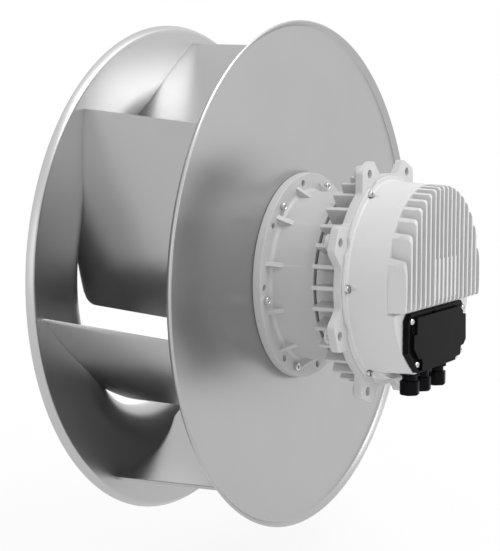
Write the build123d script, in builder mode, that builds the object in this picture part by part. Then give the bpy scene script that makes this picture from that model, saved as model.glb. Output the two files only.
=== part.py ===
from build123d import *
import math
import os

# Plug fan: an external-rotor motor with a bolted-on electronics housing, and a
# backward-curved impeller of one back disc, seven blades and one front shroud.
# Millimetres. The fan axis is Y: the air inlet faces +Y, the electronics face -Y.
# The origin is the centre of the motor's mounting face, which the eight lugs share.

# Driving dimensions: impeller
impeller_diameter = 650.0
disc_sheet = 3.0
disc_bore_r = 100.0
rim_flare = 5.5
rim_height = 7.8
rim_bend_r = 4.0
shroud_sheet = 3.0
inlet_bore_r = 192.0
inlet_curve_r = 63.0
blade_count = 7
blade_sheet = 4.0
blade_width = 183.5
blade_seam = 0.02
blade_lead_inset = 5.3
blade_lead_angle = 194.9
blade_trail_inset = 33.0
blade_trail_angle = 138.9
blade_sagitta = 16.0
blade_twist_lead = -5.8
blade_twist_trail = -3.8
blade_grow_lead = 3.1
blade_grow_trail = 11.7
blade_nose = 20.0
blade_nose_radius = 13.0

# Driving dimensions: rotor
rotor_face_y = 109.0
rotor_flange_t = 10.5
rotor_flange_r = 132.5
rotor_bell_r = 108.0
rotor_bell_wall = 7.0
rotor_open_y = 49.0
rotor_recess_r = 84.0
rotor_recess_d = 6.0
rotor_fillet = 5.0
gusset_count = 12
gusset_phase = 18.0
gusset_t = 6.0
gusset_height = 18.0
gusset_reach_r = 120.3
bolt_circle_r = 120.5
impeller_screw_count = 6
impeller_screw_phase = 10.0
impeller_screw_d = 6.0
impeller_screw_head_r = 5.0
impeller_screw_head_h = 5.0
impeller_nut_af = 10.0
impeller_nut_h = 5.0
spare_hole_r = 4.25
spare_hole_phase = 10.0
spare_hole_count = 8
spare_hole_shift = 7.5
hub_r = 17.0
bell_end_inset = 2.0
rib_foot = 1.0
rotor_edge = 1.0

# Driving dimensions: shaft and bearings
shaft_r = 12.5
shaft_back_y = 8.0
shaft_socket = 8.0
clip_groove_d = 1.0
bearing_r = 26.0
bearing_width = 15.0
bearing_race_t = 3.6
bearing_ball_r = 4.0
bearing_ball_count = 8
bearing_cage_t = 2.4
bearing_cage_width = 11.0
bearing_shoulder_r = 21.0
rear_bearing_y = 16.0
front_bearing_y = 87.0
running_gap = 0.05
ball_gap = 0.15
shaft_shoulder_r = 14.5
press_gap = 0.02
circlip_t = 1.6
circlip_r = 15.0
spring_t = 1.2

# Driving dimensions: motor stator
flange_t = 10.0
flange_lip = 9.0
lug_count = 8
lug_phase = 22.5
lug_offset = 11.5
lug_reach = 11.2
lug_tip_half = 16.8
lug_flank_angle = 22.5
lug_corner_r = 8.0
lug_root_r = 8.0
lug_hole_r = 5.5
lug_boss_r = 10.2
lug_boss_h = 6.5
barrel_r = 105.5
barrel_wall = 7.0
barrel_end_y = 46.5
fin_count = 32
fin_t = 5.0
fin_inset = 1.5
fin_foot = 1.0
fin_end_y = 40.0
tube_r = 34.0
core_y = 56.0
core_length = 44.0
core_r = 91.0
core_yoke_r = 50.0
slot_depth = 14.0
tooth_count = 12
tooth_t = 16.0
tooth_shoe_t = 7.0
slot_mouth = 4.0
coil_t = 4.8
coil_gap = 0.3
coil_overhang = 5.5
coil_inner_r = 55.0
coil_outer_r = 82.0
magnet_count = 10
magnet_t = 4.5
magnet_arc = 32.0
iron_ring_t = 4.0
lead_hole_r = 11.0
lead_hole_circle_r = 66.0
lead_r = 2.0
lead_pitch = 5.2
lead_count = 3
grommet_lip = 2.0

# Driving dimensions: electronics housing
housing_flange_t = 3.5
housing_lip = 6.5
housing_fillet = 3.0
housing_foot_r = 123.5
housing_taper = 4.5
housing_depth = 77.0
sink_floor = 53.0
sink_fin_t = 4.0
sink_inner_pitch = 12.8
sink_edge_fin_t = 2.5
sink_inner_count = 6
sink_outer_count = 6
sink_pad_extra = 2.4
sink_pad_t = 3.0
sink_pad_top = 18.0
sink_pad_bottom = -22.0
sink_end_z = -26.0
sink_corner_r = 4.5
side_flat_inset = 7.0
ledge_z = -29.3
ledge_y = 61.0
belly_inset = 16.5
belly_front = 18.0
belly_right_margin = 19.0
belly_left_margin = 25.0
scallop_r = 18.0
housing_screw_count = 6
housing_screw_offset = 2.5
housing_screw_d = 5.0
housing_screw_head_r = 4.2
housing_screw_head_h = 4.0
housing_screw_reach = 8.0
head_room = 1.4
seal_groove_inset = 9.0
seal_groove_w = 2.8
seal_groove_d = 2.2

# Driving dimensions: terminal compartment and its cover
cover_inset = 32.5
cover_gap = 0.9
cover_floor_gap = 3.0
cover_top_corner = 8.0
cover_corner_x = 31.0
cover_corner_z = 27.0
cover_step_x = 8.0
cover_step_z = 15.0
cover_foot_x = 34.0
cover_foot_z = 3.0
cover_gasket_t = 1.0
cover_base_t = 3.0
cover_rim_w = 2.2
cover_rim_t = 4.0
cover_rim_end_x = 19.0
cover_panel_t = 5.0
pry_slot_w = 11.0
pry_slot_h = 3.4
pry_slot_d = 2.0
pry_slot_x = -8.0
cover_boss_r = 4.4
cover_boss_hole_r = 2.5
cover_boss_h = 2.5
cover_screw_d = 4.0
cover_screw_head_r = 4.3
cover_screw_head_h = 3.8
cover_screw_reach = 7.0
wall_under_cover = 8.0
room_left_margin = 17.0
room_right_margin = 15.0
room_front_y = -26.0
room_floor_t = 8.0
room_height = 50.0
chamber_wall = 14.0
chamber_depth = 45.0

# Driving dimensions: cable glands
gland_xs = (-19.0, 17.0, 65.0)
gland_y = -39.5
gland_thread_r = 10.0
gland_hole_gap = 0.1
gland_seal_t = 1.5
gland_seal_r = 12.5
gland_hex_af = 23.0
gland_hex_h = 6.5
gland_neck_r = 9.4
gland_neck_h = 6.4
gland_nut_af = 23.4
gland_nut_corner_r = 6.0
gland_nut_turn = 12.0
gland_nut_h = 18.0
gland_nut_crown = 3.0
gland_nut_edge_r = 2.5
gland_bore_r = 5.5
gland_insert_wall = 2.2
gland_locknut_af = 24.0
gland_locknut_h = 4.0
gland_thread_end = 3.0

# Driving dimensions: electronics
board_gap = 3.5
board_t = 1.6
board_y = -20.0
board_flat_z = -56.0
post_r = 5.0
post_screw_depth = 6.0
post_inset = 10.0
post_angles = (20.0, 90.0, 160.0, 205.0, 335.0)
post_screw_r = 1.5
post_screw_head_r = 2.8
post_screw_head_h = 2.2
capacitor_r = 12.5
capacitor_h = 22.0
capacitor_xs = (-42.0, -14.0, 14.0, 42.0)
capacitor_z = 62.0
module_size = (70.0, 34.0, 7.0)
module_z = 12.0
choke_r = 17.0
choke_hole_r = 8.5
choke_edge_r = 2.1
choke_h = 15.0
choke_inset = 44.0
choke_z = 16.0
block_size = (84.0, 13.0, 20.0)
block_x = 8.0
block_z = -48.5
clamp_count = 7
clamp_r = 3.2
clamp_depth = 4.0

# Radii and places that follow from the sizes above
impeller_r = impeller_diameter / 2
blade_lead_r = inlet_bore_r - blade_lead_inset
blade_trail_r = impeller_r - blade_trail_inset
flange_r = housing_foot_r + flange_lip
lug_circle_r = flange_r + lug_offset
lug_tip_r = lug_circle_r + lug_reach
fin_tip_r = flange_r - fin_inset
housing_flange_r = housing_foot_r + housing_lip
housing_tip_r = housing_foot_r - housing_taper
housing_screw_circle_r = housing_foot_r + housing_screw_offset
seal_groove_r = housing_foot_r - seal_groove_inset
side_flat_x = housing_foot_r - side_flat_inset
belly_z = belly_inset - housing_foot_r
belly_left_x = gland_xs[0] - belly_left_margin
belly_right_x = gland_xs[-1] + belly_right_margin
room_left_x = gland_xs[0] - room_left_margin
room_right_x = gland_xs[-1] + room_right_margin
room_floor_z = belly_z + room_floor_t
chamber_r = housing_foot_r - chamber_wall
board_r = chamber_r - board_gap
post_circle_r = board_r - post_inset
choke_place = (choke_inset - board_r, choke_z)
cover_half = housing_foot_r - cover_inset
cover_top = ledge_z - cover_gap
cover_bottom = belly_z + cover_floor_gap

# Corners in the terminal cover: side, distance in from that side, end, distance in from that end
opening_corners = (
    (-1, 27.0, "top", 11.8),
    (1, 27.0, "top", 11.8),
    (1, 27.0, "top", 19.8),
    (1, 13.0, "top", 19.8),
    (1, 13.0, "bottom", 26.0),
    (1, 21.0, "bottom", 20.0),
    (1, 21.0, "bottom", 5.0),
    (-1, 43.0, "bottom", 5.0),
    (-1, 13.0, "bottom", 34.0),
    (-1, 13.0, "top", 19.8),
    (-1, 27.0, "top", 19.8),
)
panel_corners = (
    (-1, 24.0, "top", 5.8),
    (1, 21.0, "top", 5.8),
    (1, 17.5, "top", 9.8),
    (1, 15.0, "top", 14.8),
    (1, 11.0, "top", 17.3),
    (1, 2.5, "top", 17.8),
    (1, 1.3, "bottom", 23.0),
    (1, 9.0, "bottom", 17.0),
    (1, 17.5, "bottom", 16.0),
    (1, 20.5, "bottom", 5.0),
    (1, 34.0, "bottom", 4.5),
    (1, 38.0, "bottom", 2.5),
    (-1, 40.3, "bottom", 2.5),
    (-1, 40.0, "bottom", 14.0),
    (-1, 37.0, "bottom", 17.0),
    (-1, 29.3, "bottom", 17.2),
    (-1, 15.2, "bottom", 31.0),
    (-1, 15.0, "top", 26.1),
    (-1, 24.0, "top", 26.1),
)
cover_screw_corners = (
    (-1, 14.0, "top", 9.6),
    (1, 6.0, "top", 10.3),
    (-1, 30.0, "bottom", 10.5),
    (1, 13.5, "bottom", 9.5),
)
cover_boss_corner = (-1, 18.0, "top", 20.3)

# Stations along the fan axis that follow from the sizes above
disc_back_y = rotor_face_y + rotor_flange_t
disc_front_y = disc_back_y + disc_sheet
shroud_back_y = disc_front_y + blade_width
shroud_mid_y = shroud_back_y + shroud_sheet / 2
inlet_y = shroud_mid_y + inlet_curve_r
inlet_mid_r = inlet_bore_r + shroud_sheet / 2
bell_inner_r = rotor_bell_r - rotor_bell_wall
core_end_y = core_y + core_length
shaft_front_y = rotor_face_y + shaft_socket
hub_end_y = front_bearing_y + bearing_width + press_gap
ledge = -ledge_y
sink_rear = -housing_depth
cover_back_y = ledge - cover_gasket_t
cover_floor_y = cover_back_y - cover_base_t

os.makedirs("parts", exist_ok=True)


def cover_place(corner):
    """X and Z of a corner that is measured in from a side and an end of the terminal cover."""
    side, from_side, end, from_end = corner
    if end == "top":
        return (side * (cover_half - from_side), cover_top - from_end)
    return (side * (cover_half - from_side), cover_bottom + from_end)


cover_screw_places = [cover_place(corner) for corner in cover_screw_corners]


def across(y):
    """Sketch plane at height y on the fan axis, drawn as seen from the motor side."""
    return Plane.XZ.offset(-y)


def spoke(angle):
    """Sketch plane through the fan axis: x is the radius, y is the fan axis."""
    return Plane.XY.rotated((0, -angle, 0))


def polar(radius, angle):
    """Point in an across() sketch from its radius and its angle in degrees."""
    return (radius * math.cos(math.radians(angle)), radius * math.sin(math.radians(angle)))


def finish(block, label):
    """Name a finished piece and write it out under that name."""
    block.part.label = label
    export_step(block.part, f"parts/{label}.step")


# Impeller back disc: a flat sheet whose rim is flared towards the motor
with BuildPart() as back_disc:
    with BuildSketch(Plane.XY) as disc_profile:
        with BuildLine() as disc_path:
            disc_mid_y = disc_back_y + disc_sheet / 2
            FilletPolyline(
                (disc_bore_r, disc_mid_y),
                (impeller_r - rim_flare - disc_sheet / 2, disc_mid_y),
                (impeller_r - disc_sheet / 2, disc_mid_y - rim_height),
                radius=rim_bend_r,
            )
        trace(line_width=disc_sheet)
    revolve(axis=Axis.Y)
    with BuildSketch(across(disc_front_y)) as disc_holes:
        with PolarLocations(bolt_circle_r, impeller_screw_count, start_angle=impeller_screw_phase):
            Circle(impeller_screw_d / 2 + running_gap)
    extrude(amount=-disc_sheet, both=True, mode=Mode.SUBTRACT)
finish(back_disc, "back_disc")

# Front shroud: a flat ring that curves into the round inlet, with the same flared rim
with BuildPart() as front_shroud:
    with BuildSketch(Plane.XY) as shroud_profile:
        with BuildLine() as shroud_path:
            shroud_rim = FilletPolyline(
                (impeller_r - shroud_sheet / 2, shroud_mid_y + rim_height),
                (impeller_r - rim_flare - shroud_sheet / 2, shroud_mid_y),
                (inlet_mid_r + inlet_curve_r, shroud_mid_y),
                radius=rim_bend_r,
            )
            CenterArc(
                (inlet_mid_r + inlet_curve_r, inlet_y),
                inlet_curve_r,
                180,
                90,
            )
        trace(line_width=shroud_sheet)
    revolve(axis=Axis.Y)
finish(front_shroud, "front_shroud")


def blade_outline(lead, trail):
    """Curved strip of sheet between two points of an across() sketch."""
    (x1, z1), (x2, z2) = lead, trail
    chord = math.hypot(x2 - x1, z2 - z1)
    bend_r = (chord**2 / 4 + blade_sagitta**2) / (2 * blade_sagitta)
    out_x, out_z = -(z2 - z1) / chord, (x2 - x1) / chord
    centre = (
        (x1 + x2) / 2 - out_x * (bend_r - blade_sagitta),
        (z1 + z2) / 2 - out_z * (bend_r - blade_sagitta),
    )
    crest = (centre[0] + out_x * bend_r, centre[1] + out_z * bend_r)

    def at(point, radius):
        dx, dz = point[0] - centre[0], point[1] - centre[1]
        size = math.hypot(dx, dz)
        return (centre[0] + dx * radius / size, centre[1] + dz * radius / size)

    outer = bend_r + blade_sheet / 2
    inner = bend_r - blade_sheet / 2
    with BuildLine() as outline:
        ThreePointArc(at(lead, outer), at(crest, outer), at(trail, outer))
        Line(at(trail, outer), at(trail, inner))
        ThreePointArc(at(trail, inner), at(crest, inner), at(lead, inner))
        Line(at(lead, inner), at(lead, outer))
    make_face(outline.edges())


# Blades: single curved sheets, twisted between the disc and the shroud, with a
# rounded nose that reaches into the inlet curve
blade_tip_y = shroud_back_y + blade_nose
for number in range(blade_count):
    turn = number * 360 / blade_count
    with BuildPart() as blade:
        with BuildSketch(across(disc_front_y + blade_seam)) as blade_root:
            blade_outline(
                polar(blade_lead_r, blade_lead_angle + turn),
                polar(blade_trail_r, blade_trail_angle + turn),
            )
        with BuildSketch(across(blade_tip_y)) as blade_end:
            blade_outline(
                polar(blade_lead_r + blade_grow_lead, blade_lead_angle + blade_twist_lead + turn),
                polar(blade_trail_r + blade_grow_trail, blade_trail_angle + blade_twist_trail + turn),
            )
        loft(ruled=True)
        nose_corner = polar(blade_lead_r + blade_grow_lead, blade_lead_angle + blade_twist_lead + turn)
        nose_edges = blade.edges().filter_by(lambda edge: edge.length < 2 * blade_sheet)
        nose_edge = nose_edges.sort_by_distance((nose_corner[0], blade_tip_y, nose_corner[1]))[0]
        fillet(nose_edge, radius=blade_nose_radius)
        with BuildSketch(Plane.XY) as shroud_side:
            with BuildLine():
                shroud_curve = CenterArc(
                    (inlet_mid_r + inlet_curve_r, inlet_y),
                    inlet_curve_r + shroud_sheet / 2 + blade_seam,
                    180,
                    90,
                )
                Polyline(
                    shroud_curve @ 1,
                    (impeller_r, shroud_back_y - blade_seam),
                    (impeller_r, inlet_y),
                    shroud_curve @ 0,
                )
            make_face()
        revolve(axis=Axis.Y, mode=Mode.SUBTRACT)
    finish(blade, f"blade_{number + 1}")

# Rotor: a bell that carries the magnets inside, with a gusseted flange for the impeller
spare_hole_angles = []
for step in range(spare_hole_count):
    angle = spare_hole_phase + step * 360 / spare_hole_count
    shared = (angle - impeller_screw_phase) % (360 / impeller_screw_count) == 0
    spare_hole_angles.append(angle - spare_hole_shift if shared else angle)
with BuildPart() as rotor_bell:
    with BuildSketch(Plane.XY) as bell_profile:
        with BuildLine():
            Polyline(
                (0, rotor_face_y - bell_end_inset),
                (bell_inner_r, rotor_face_y - bell_end_inset),
                (bell_inner_r, rotor_open_y),
                (rotor_bell_r, rotor_open_y),
                (rotor_bell_r, rotor_face_y),
                (rotor_flange_r - rotor_edge, rotor_face_y),
                (rotor_flange_r, disc_back_y),
                (disc_bore_r - press_gap, disc_back_y),
                (disc_bore_r - press_gap, disc_front_y),
                (0, disc_front_y),
                close=True,
            )
        make_face()
        root = bell_profile.vertices().sort_by_distance((rotor_bell_r, rotor_face_y))[0]
        fillet(root, radius=rotor_fillet)
    revolve(axis=Axis.Y)
    with BuildSketch(across(hub_end_y)) as hub:
        Circle(hub_r)
    extrude(amount=hub_end_y - rotor_face_y)
    with BuildSketch(across(disc_front_y)) as front_recess:
        Circle(rotor_recess_r)
        Circle(hub_r + rotor_fillet, mode=Mode.SUBTRACT)
    extrude(amount=rotor_recess_d, mode=Mode.SUBTRACT)
    for step in range(gusset_count):
        with BuildSketch(spoke(gusset_phase + step * 360 / gusset_count)) as gusset:
            with BuildLine():
                root_r = rotor_bell_r - rib_foot
                Polyline(
                    (root_r, rotor_face_y),
                    (gusset_reach_r, rotor_face_y),
                    (rotor_bell_r, rotor_face_y - gusset_height),
                    (root_r, rotor_face_y - gusset_height),
                    close=True,
                )
            make_face()
        extrude(amount=gusset_t / 2, both=True)
    with BuildSketch(across(disc_back_y)) as bell_holes:
        with PolarLocations(bolt_circle_r, impeller_screw_count, start_angle=impeller_screw_phase):
            Circle(impeller_screw_d / 2 + running_gap)
        for angle in spare_hole_angles:
            with Locations(polar(bolt_circle_r, angle)):
                Circle(spare_hole_r)
    extrude(amount=rotor_flange_t, mode=Mode.SUBTRACT)
    with BuildSketch(across(shaft_front_y)) as socket:
        Circle(shaft_r + press_gap)
    extrude(amount=shaft_front_y - hub_end_y, mode=Mode.SUBTRACT)
finish(rotor_bell, "rotor_bell")

# Iron ring: lines the aluminium bell and closes the magnetic path behind the magnets
with BuildPart() as rotor_iron_ring:
    with BuildSketch(across(core_end_y)) as iron_section:
        Circle(bell_inner_r - press_gap)
        Circle(bell_inner_r - iron_ring_t, mode=Mode.SUBTRACT)
    extrude(amount=core_end_y - rotor_open_y)
finish(rotor_iron_ring, "rotor_iron_ring")

# Rotor magnets: arcs glued to the inside of the iron ring
with BuildPart() as rotor_magnets:
    with BuildSketch(across(core_end_y)) as magnet_section:
        magnet_outer_r = bell_inner_r - iron_ring_t - press_gap
        magnet_inner_r = magnet_outer_r - magnet_t
        for step in range(magnet_count):
            middle = step * 360 / magnet_count
            with BuildLine():
                start, end = middle - magnet_arc / 2, middle + magnet_arc / 2
                CenterArc((0, 0), magnet_outer_r, start, magnet_arc)
                Line(polar(magnet_outer_r, end), polar(magnet_inner_r, end))
                CenterArc((0, 0), magnet_inner_r, start, magnet_arc)
                Line(polar(magnet_inner_r, start), polar(magnet_outer_r, start))
            make_face()
    extrude(amount=core_length)
finish(rotor_magnets, "rotor_magnets")

# Shaft: pressed into the rotor bell, carried by two ball bearings
with BuildPart() as rotor_shaft:
    with BuildSketch(across(shaft_front_y)) as shaft_section:
        Circle(shaft_r)
    extrude(amount=shaft_front_y - shaft_back_y)
    with BuildSketch(across(front_bearing_y - press_gap)) as shoulder_section:
        Circle(shaft_shoulder_r)
    extrude(amount=front_bearing_y - rear_bearing_y - bearing_width - 2 * press_gap)
    with BuildSketch(across(rear_bearing_y)) as clip_groove:
        Circle(shaft_r)
        Circle(shaft_r - clip_groove_d, mode=Mode.SUBTRACT)
    extrude(amount=circlip_t + press_gap, mode=Mode.SUBTRACT)
    chamfer(rotor_shaft.faces().sort_by(Axis.Y)[0].edges(), length=1)
finish(rotor_shaft, "rotor_shaft")

# Shaft circlip: an open ring that keeps the rear bearing on the shaft
with BuildPart() as shaft_circlip:
    with BuildSketch(across(rear_bearing_y - press_gap / 2)) as clip_section:
        Circle(circlip_r)
        Circle(shaft_r - clip_groove_d + press_gap, mode=Mode.SUBTRACT)
        with Locations((0, circlip_r)):
            Rectangle(shaft_r, circlip_r, mode=Mode.SUBTRACT)
    extrude(amount=circlip_t)
finish(shaft_circlip, "shaft_circlip")

# Ball bearings: outer ring, inner ring, and the caged balls between them
ball_circle_r = (shaft_r + bearing_r) / 2
for name, start_y in (("rear", rear_bearing_y), ("front", front_bearing_y)):
    middle_y = start_y + bearing_width / 2
    with BuildPart() as outer_race:
        with BuildSketch(Plane.XY) as outer_profile:
            with Locations((bearing_r - press_gap - bearing_race_t / 2, middle_y)):
                Rectangle(bearing_race_t, bearing_width)
            with Locations((ball_circle_r, middle_y)):
                Circle(bearing_ball_r + ball_gap, mode=Mode.SUBTRACT)
        revolve(axis=Axis.Y)
    finish(outer_race, f"{name}_bearing_outer_ring")
    with BuildPart() as inner_race:
        with BuildSketch(Plane.XY) as inner_profile:
            with Locations((shaft_r + press_gap + bearing_race_t / 2, middle_y)):
                Rectangle(bearing_race_t, bearing_width)
            with Locations((ball_circle_r, middle_y)):
                Circle(bearing_ball_r + ball_gap, mode=Mode.SUBTRACT)
        revolve(axis=Axis.Y)
    finish(inner_race, f"{name}_bearing_inner_ring")
    with BuildPart() as balls:
        for step in range(bearing_ball_count):
            x, z = polar(ball_circle_r, step * 360 / bearing_ball_count)
            with Locations((x, middle_y, z)):
                Sphere(bearing_ball_r)
    finish(balls, f"{name}_bearing_balls")
    with BuildPart() as cage:
        with BuildSketch(across(middle_y + bearing_cage_width / 2)) as cage_section:
            Circle(ball_circle_r + bearing_cage_t / 2)
            Circle(ball_circle_r - bearing_cage_t / 2, mode=Mode.SUBTRACT)
        extrude(amount=bearing_cage_width)
        for step in range(bearing_ball_count):
            x, z = polar(1, step * 360 / bearing_ball_count)
            with BuildSketch(Plane((0, middle_y, 0), x_dir=(0, 1, 0), z_dir=(x, 0, z))):
                Circle(bearing_ball_r + ball_gap)
            extrude(amount=bearing_r, mode=Mode.SUBTRACT)
    finish(cage, f"{name}_bearing_cage")

# Motor flange: the aluminium casting with the mounting lugs, the cooling fins, the
# barrel that closes the rotor and the tube that holds the bearings
with BuildPart() as motor_flange:
    with BuildSketch(across(flange_t)) as plate:
        Circle(flange_r)
        lug_base_x = 2 * flange_r - lug_circle_r
        lug_flare = (lug_tip_r - lug_base_x) * math.tan(math.radians(lug_flank_angle))
        lug_base_half = lug_tip_half + lug_flare
        for step in range(lug_count):
            angle = lug_phase + step * 360 / lug_count
            with Locations(Location((0, 0, 0), (0, 0, angle))):
                Polygon(
                    (lug_base_x, -lug_base_half),
                    (lug_tip_r, -lug_tip_half),
                    (lug_tip_r, lug_tip_half),
                    (lug_base_x, lug_base_half),
                    align=None,
                )
        plate_corners = plate.vertices().filter_by(lambda corner: abs(corner.Y) > running_gap)
        lug_tips = plate_corners.filter_by(lambda corner: math.hypot(corner.X, corner.Y) > lug_circle_r)
        fillet(lug_tips, radius=lug_corner_r)
        plate_corners = plate.vertices().filter_by(lambda corner: abs(corner.Y) > running_gap)
        lug_roots = plate_corners.filter_by(
            lambda corner: abs(math.hypot(corner.X, corner.Y) - flange_r) < running_gap
        )
        fillet(lug_roots, radius=lug_root_r)
    extrude(amount=flange_t)
    with BuildSketch(Plane.XY) as barrel_profile:
        with BuildLine():
            Polyline(
                (0, flange_t / 2),
                (barrel_r, flange_t / 2),
                (barrel_r, barrel_end_y),
                (barrel_r - barrel_wall, barrel_end_y),
                (barrel_r - barrel_wall, flange_t),
                (tube_r, flange_t),
                (tube_r, core_end_y + bearing_ball_r),
                (0, core_end_y + bearing_ball_r),
                close=True,
            )
        make_face()
    revolve(axis=Axis.Y)
    for step in range(fin_count):
        with BuildSketch(spoke(step * 360 / fin_count)) as fin:
            with BuildLine():
                Polyline(
                    (barrel_r - fin_foot, flange_t / 2),
                    (fin_tip_r, flange_t / 2),
                    (fin_tip_r, fin_end_y),
                    (barrel_r - fin_foot, fin_end_y),
                    close=True,
                )
            make_face()
        extrude(amount=fin_t / 2, both=True)
    with BuildSketch(across(flange_t)) as bosses:
        with PolarLocations(lug_circle_r, lug_count, start_angle=lug_phase):
            Circle(lug_boss_r)
    extrude(amount=-lug_boss_h)
    with BuildSketch(across(flange_t + lug_boss_h)) as lug_holes:
        with PolarLocations(lug_circle_r, lug_count, start_angle=lug_phase):
            Circle(lug_hole_r)
    extrude(amount=flange_t + lug_boss_h, mode=Mode.SUBTRACT)
    with BuildSketch(across(core_end_y + bearing_ball_r)) as bearing_bore:
        Circle(bearing_r)
    extrude(amount=core_end_y + bearing_ball_r - rear_bearing_y, mode=Mode.SUBTRACT)
    with BuildSketch(across(rear_bearing_y)) as shaft_bore:
        Circle(bearing_shoulder_r)
    extrude(amount=rear_bearing_y, mode=Mode.SUBTRACT)
    with BuildSketch(across(flange_t)) as lead_hole:
        with Locations((0, lead_hole_circle_r)):
            Circle(lead_hole_r)
    extrude(amount=flange_t, mode=Mode.SUBTRACT)
    with BuildSketch(across(housing_screw_reach)) as flange_taps:
        with PolarLocations(housing_screw_circle_r, housing_screw_count):
            Circle(housing_screw_d / 2 + running_gap)
    extrude(amount=housing_screw_reach, mode=Mode.SUBTRACT)
finish(motor_flange, "motor_flange")

# Bearing sleeve: keeps the two outer rings apart inside the tube
with BuildPart() as bearing_sleeve:
    sleeve_end = front_bearing_y - press_gap
    with BuildSketch(across(sleeve_end)) as sleeve_section:
        Circle(bearing_r - press_gap)
        Circle(bearing_r - bearing_race_t, mode=Mode.SUBTRACT)
    extrude(amount=sleeve_end - rear_bearing_y - bearing_width - spring_t - press_gap)
finish(bearing_sleeve, "bearing_sleeve")

# Preload washer: presses the rear outer ring away from the sleeve
with BuildPart() as preload_washer:
    washer_y = rear_bearing_y + bearing_width + press_gap / 2
    with BuildSketch(across(washer_y + spring_t)) as washer_section:
        Circle(bearing_r - running_gap)
        Circle(bearing_r - bearing_race_t, mode=Mode.SUBTRACT)
    extrude(amount=spring_t)
finish(preload_washer, "preload_washer")

# Stator core: a stack of sheets with wound teeth
with BuildPart() as stator_core:
    with BuildSketch(across(core_end_y)) as core_section:
        Circle(core_r)
        Circle(core_r - tooth_shoe_t, mode=Mode.SUBTRACT)
        with PolarLocations(core_r, tooth_count, start_angle=180 / tooth_count):
            Rectangle(2 * slot_depth, slot_mouth, mode=Mode.SUBTRACT)
        with PolarLocations((core_r + core_yoke_r) / 2, tooth_count):
            Rectangle(core_r - core_yoke_r - tooth_shoe_t / 2, tooth_t)
        Circle(core_yoke_r + tooth_shoe_t / 2)
        Circle(tube_r + press_gap, mode=Mode.SUBTRACT)
    extrude(amount=core_length)
finish(stator_core, "stator_core")

# Coils: one winding round each tooth
with BuildPart() as stator_coils:
    coil_inner_half = tooth_t / 2 + coil_gap
    with BuildSketch(across(core_end_y + coil_overhang)) as coil_outside:
        with PolarLocations((coil_inner_r + coil_outer_r) / 2, tooth_count):
            Rectangle(coil_outer_r - coil_inner_r, 2 * (coil_inner_half + coil_t))
    extrude(amount=core_length + 2 * coil_overhang)
    with BuildSketch(across(core_end_y + coil_gap)) as coil_inside:
        with PolarLocations((coil_inner_r + coil_outer_r) / 2, tooth_count):
            Rectangle(coil_outer_r - coil_inner_r, 2 * coil_inner_half)
    extrude(amount=core_length + 2 * coil_gap, mode=Mode.SUBTRACT)
finish(stator_coils, "stator_coils")

# Impeller screws and nuts: they clamp the back disc to the rotor flange
with BuildPart() as impeller_screws:
    with BuildSketch(across(rotor_face_y)) as screw_heads:
        with PolarLocations(bolt_circle_r, impeller_screw_count, start_angle=impeller_screw_phase):
            Circle(impeller_screw_head_r)
    extrude(amount=impeller_screw_head_h)
    with BuildSketch(across(disc_front_y + impeller_nut_h)) as screw_shanks:
        with PolarLocations(bolt_circle_r, impeller_screw_count, start_angle=impeller_screw_phase):
            Circle(impeller_screw_d / 2)
    extrude(amount=disc_front_y + impeller_nut_h - rotor_face_y)
finish(impeller_screws, "impeller_screws")

with BuildPart() as impeller_nuts:
    with BuildSketch(across(disc_front_y + impeller_nut_h)) as nut_section:
        with PolarLocations(bolt_circle_r, impeller_screw_count, start_angle=impeller_screw_phase):
            RegularPolygon(impeller_nut_af / 2, 6, major_radius=False)
            Circle(impeller_screw_d / 2 + running_gap, mode=Mode.SUBTRACT)
    extrude(amount=impeller_nut_h)
finish(impeller_nuts, "impeller_nuts")


def cover_outline(inset=0.0, mode=Mode.ADD):
    """Outline of the terminal cover: it follows the round housing and steps round a gland."""
    Polygon(
        (cover_half - inset, cover_top - cover_top_corner - inset / 2),
        (cover_half - cover_top_corner - inset / 2, cover_top - inset),
        (cover_top_corner + inset / 2 - cover_half, cover_top - inset),
        (inset - cover_half, cover_top - cover_top_corner - inset / 2),
        (inset - cover_half, cover_bottom + cover_corner_z + inset / 2),
        (cover_corner_x + inset / 2 - cover_half, cover_bottom + inset),
        (cover_half - cover_foot_x - inset, cover_bottom + inset),
        (cover_half - cover_foot_x - inset, cover_bottom + cover_foot_z + inset),
        (cover_half - cover_step_x - inset, cover_bottom + cover_foot_z + inset),
        (cover_half - cover_step_x - inset, cover_bottom + cover_step_z + inset / 2),
        (cover_half - inset, cover_bottom + cover_step_z + cover_step_x + inset / 2),
        align=None,
        mode=mode,
    )


# Heat sink fins stand across X: six closer ones in the middle, six wider ones each side
sink_half = sink_inner_pitch * (sink_inner_count - 1) / 2
sink_edge_x = side_flat_x - sink_edge_fin_t + sink_fin_t / 2
sink_outer_pitch = (sink_edge_x - sink_half) / sink_outer_count
sink_fin_xs = [-sink_half + sink_inner_pitch * step for step in range(sink_inner_count)]
for step in range(1, sink_outer_count + 1):
    sink_fin_xs += [sink_half + sink_outer_pitch * step, -sink_half - sink_outer_pitch * step]
sink_fin_xs.sort()

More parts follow.
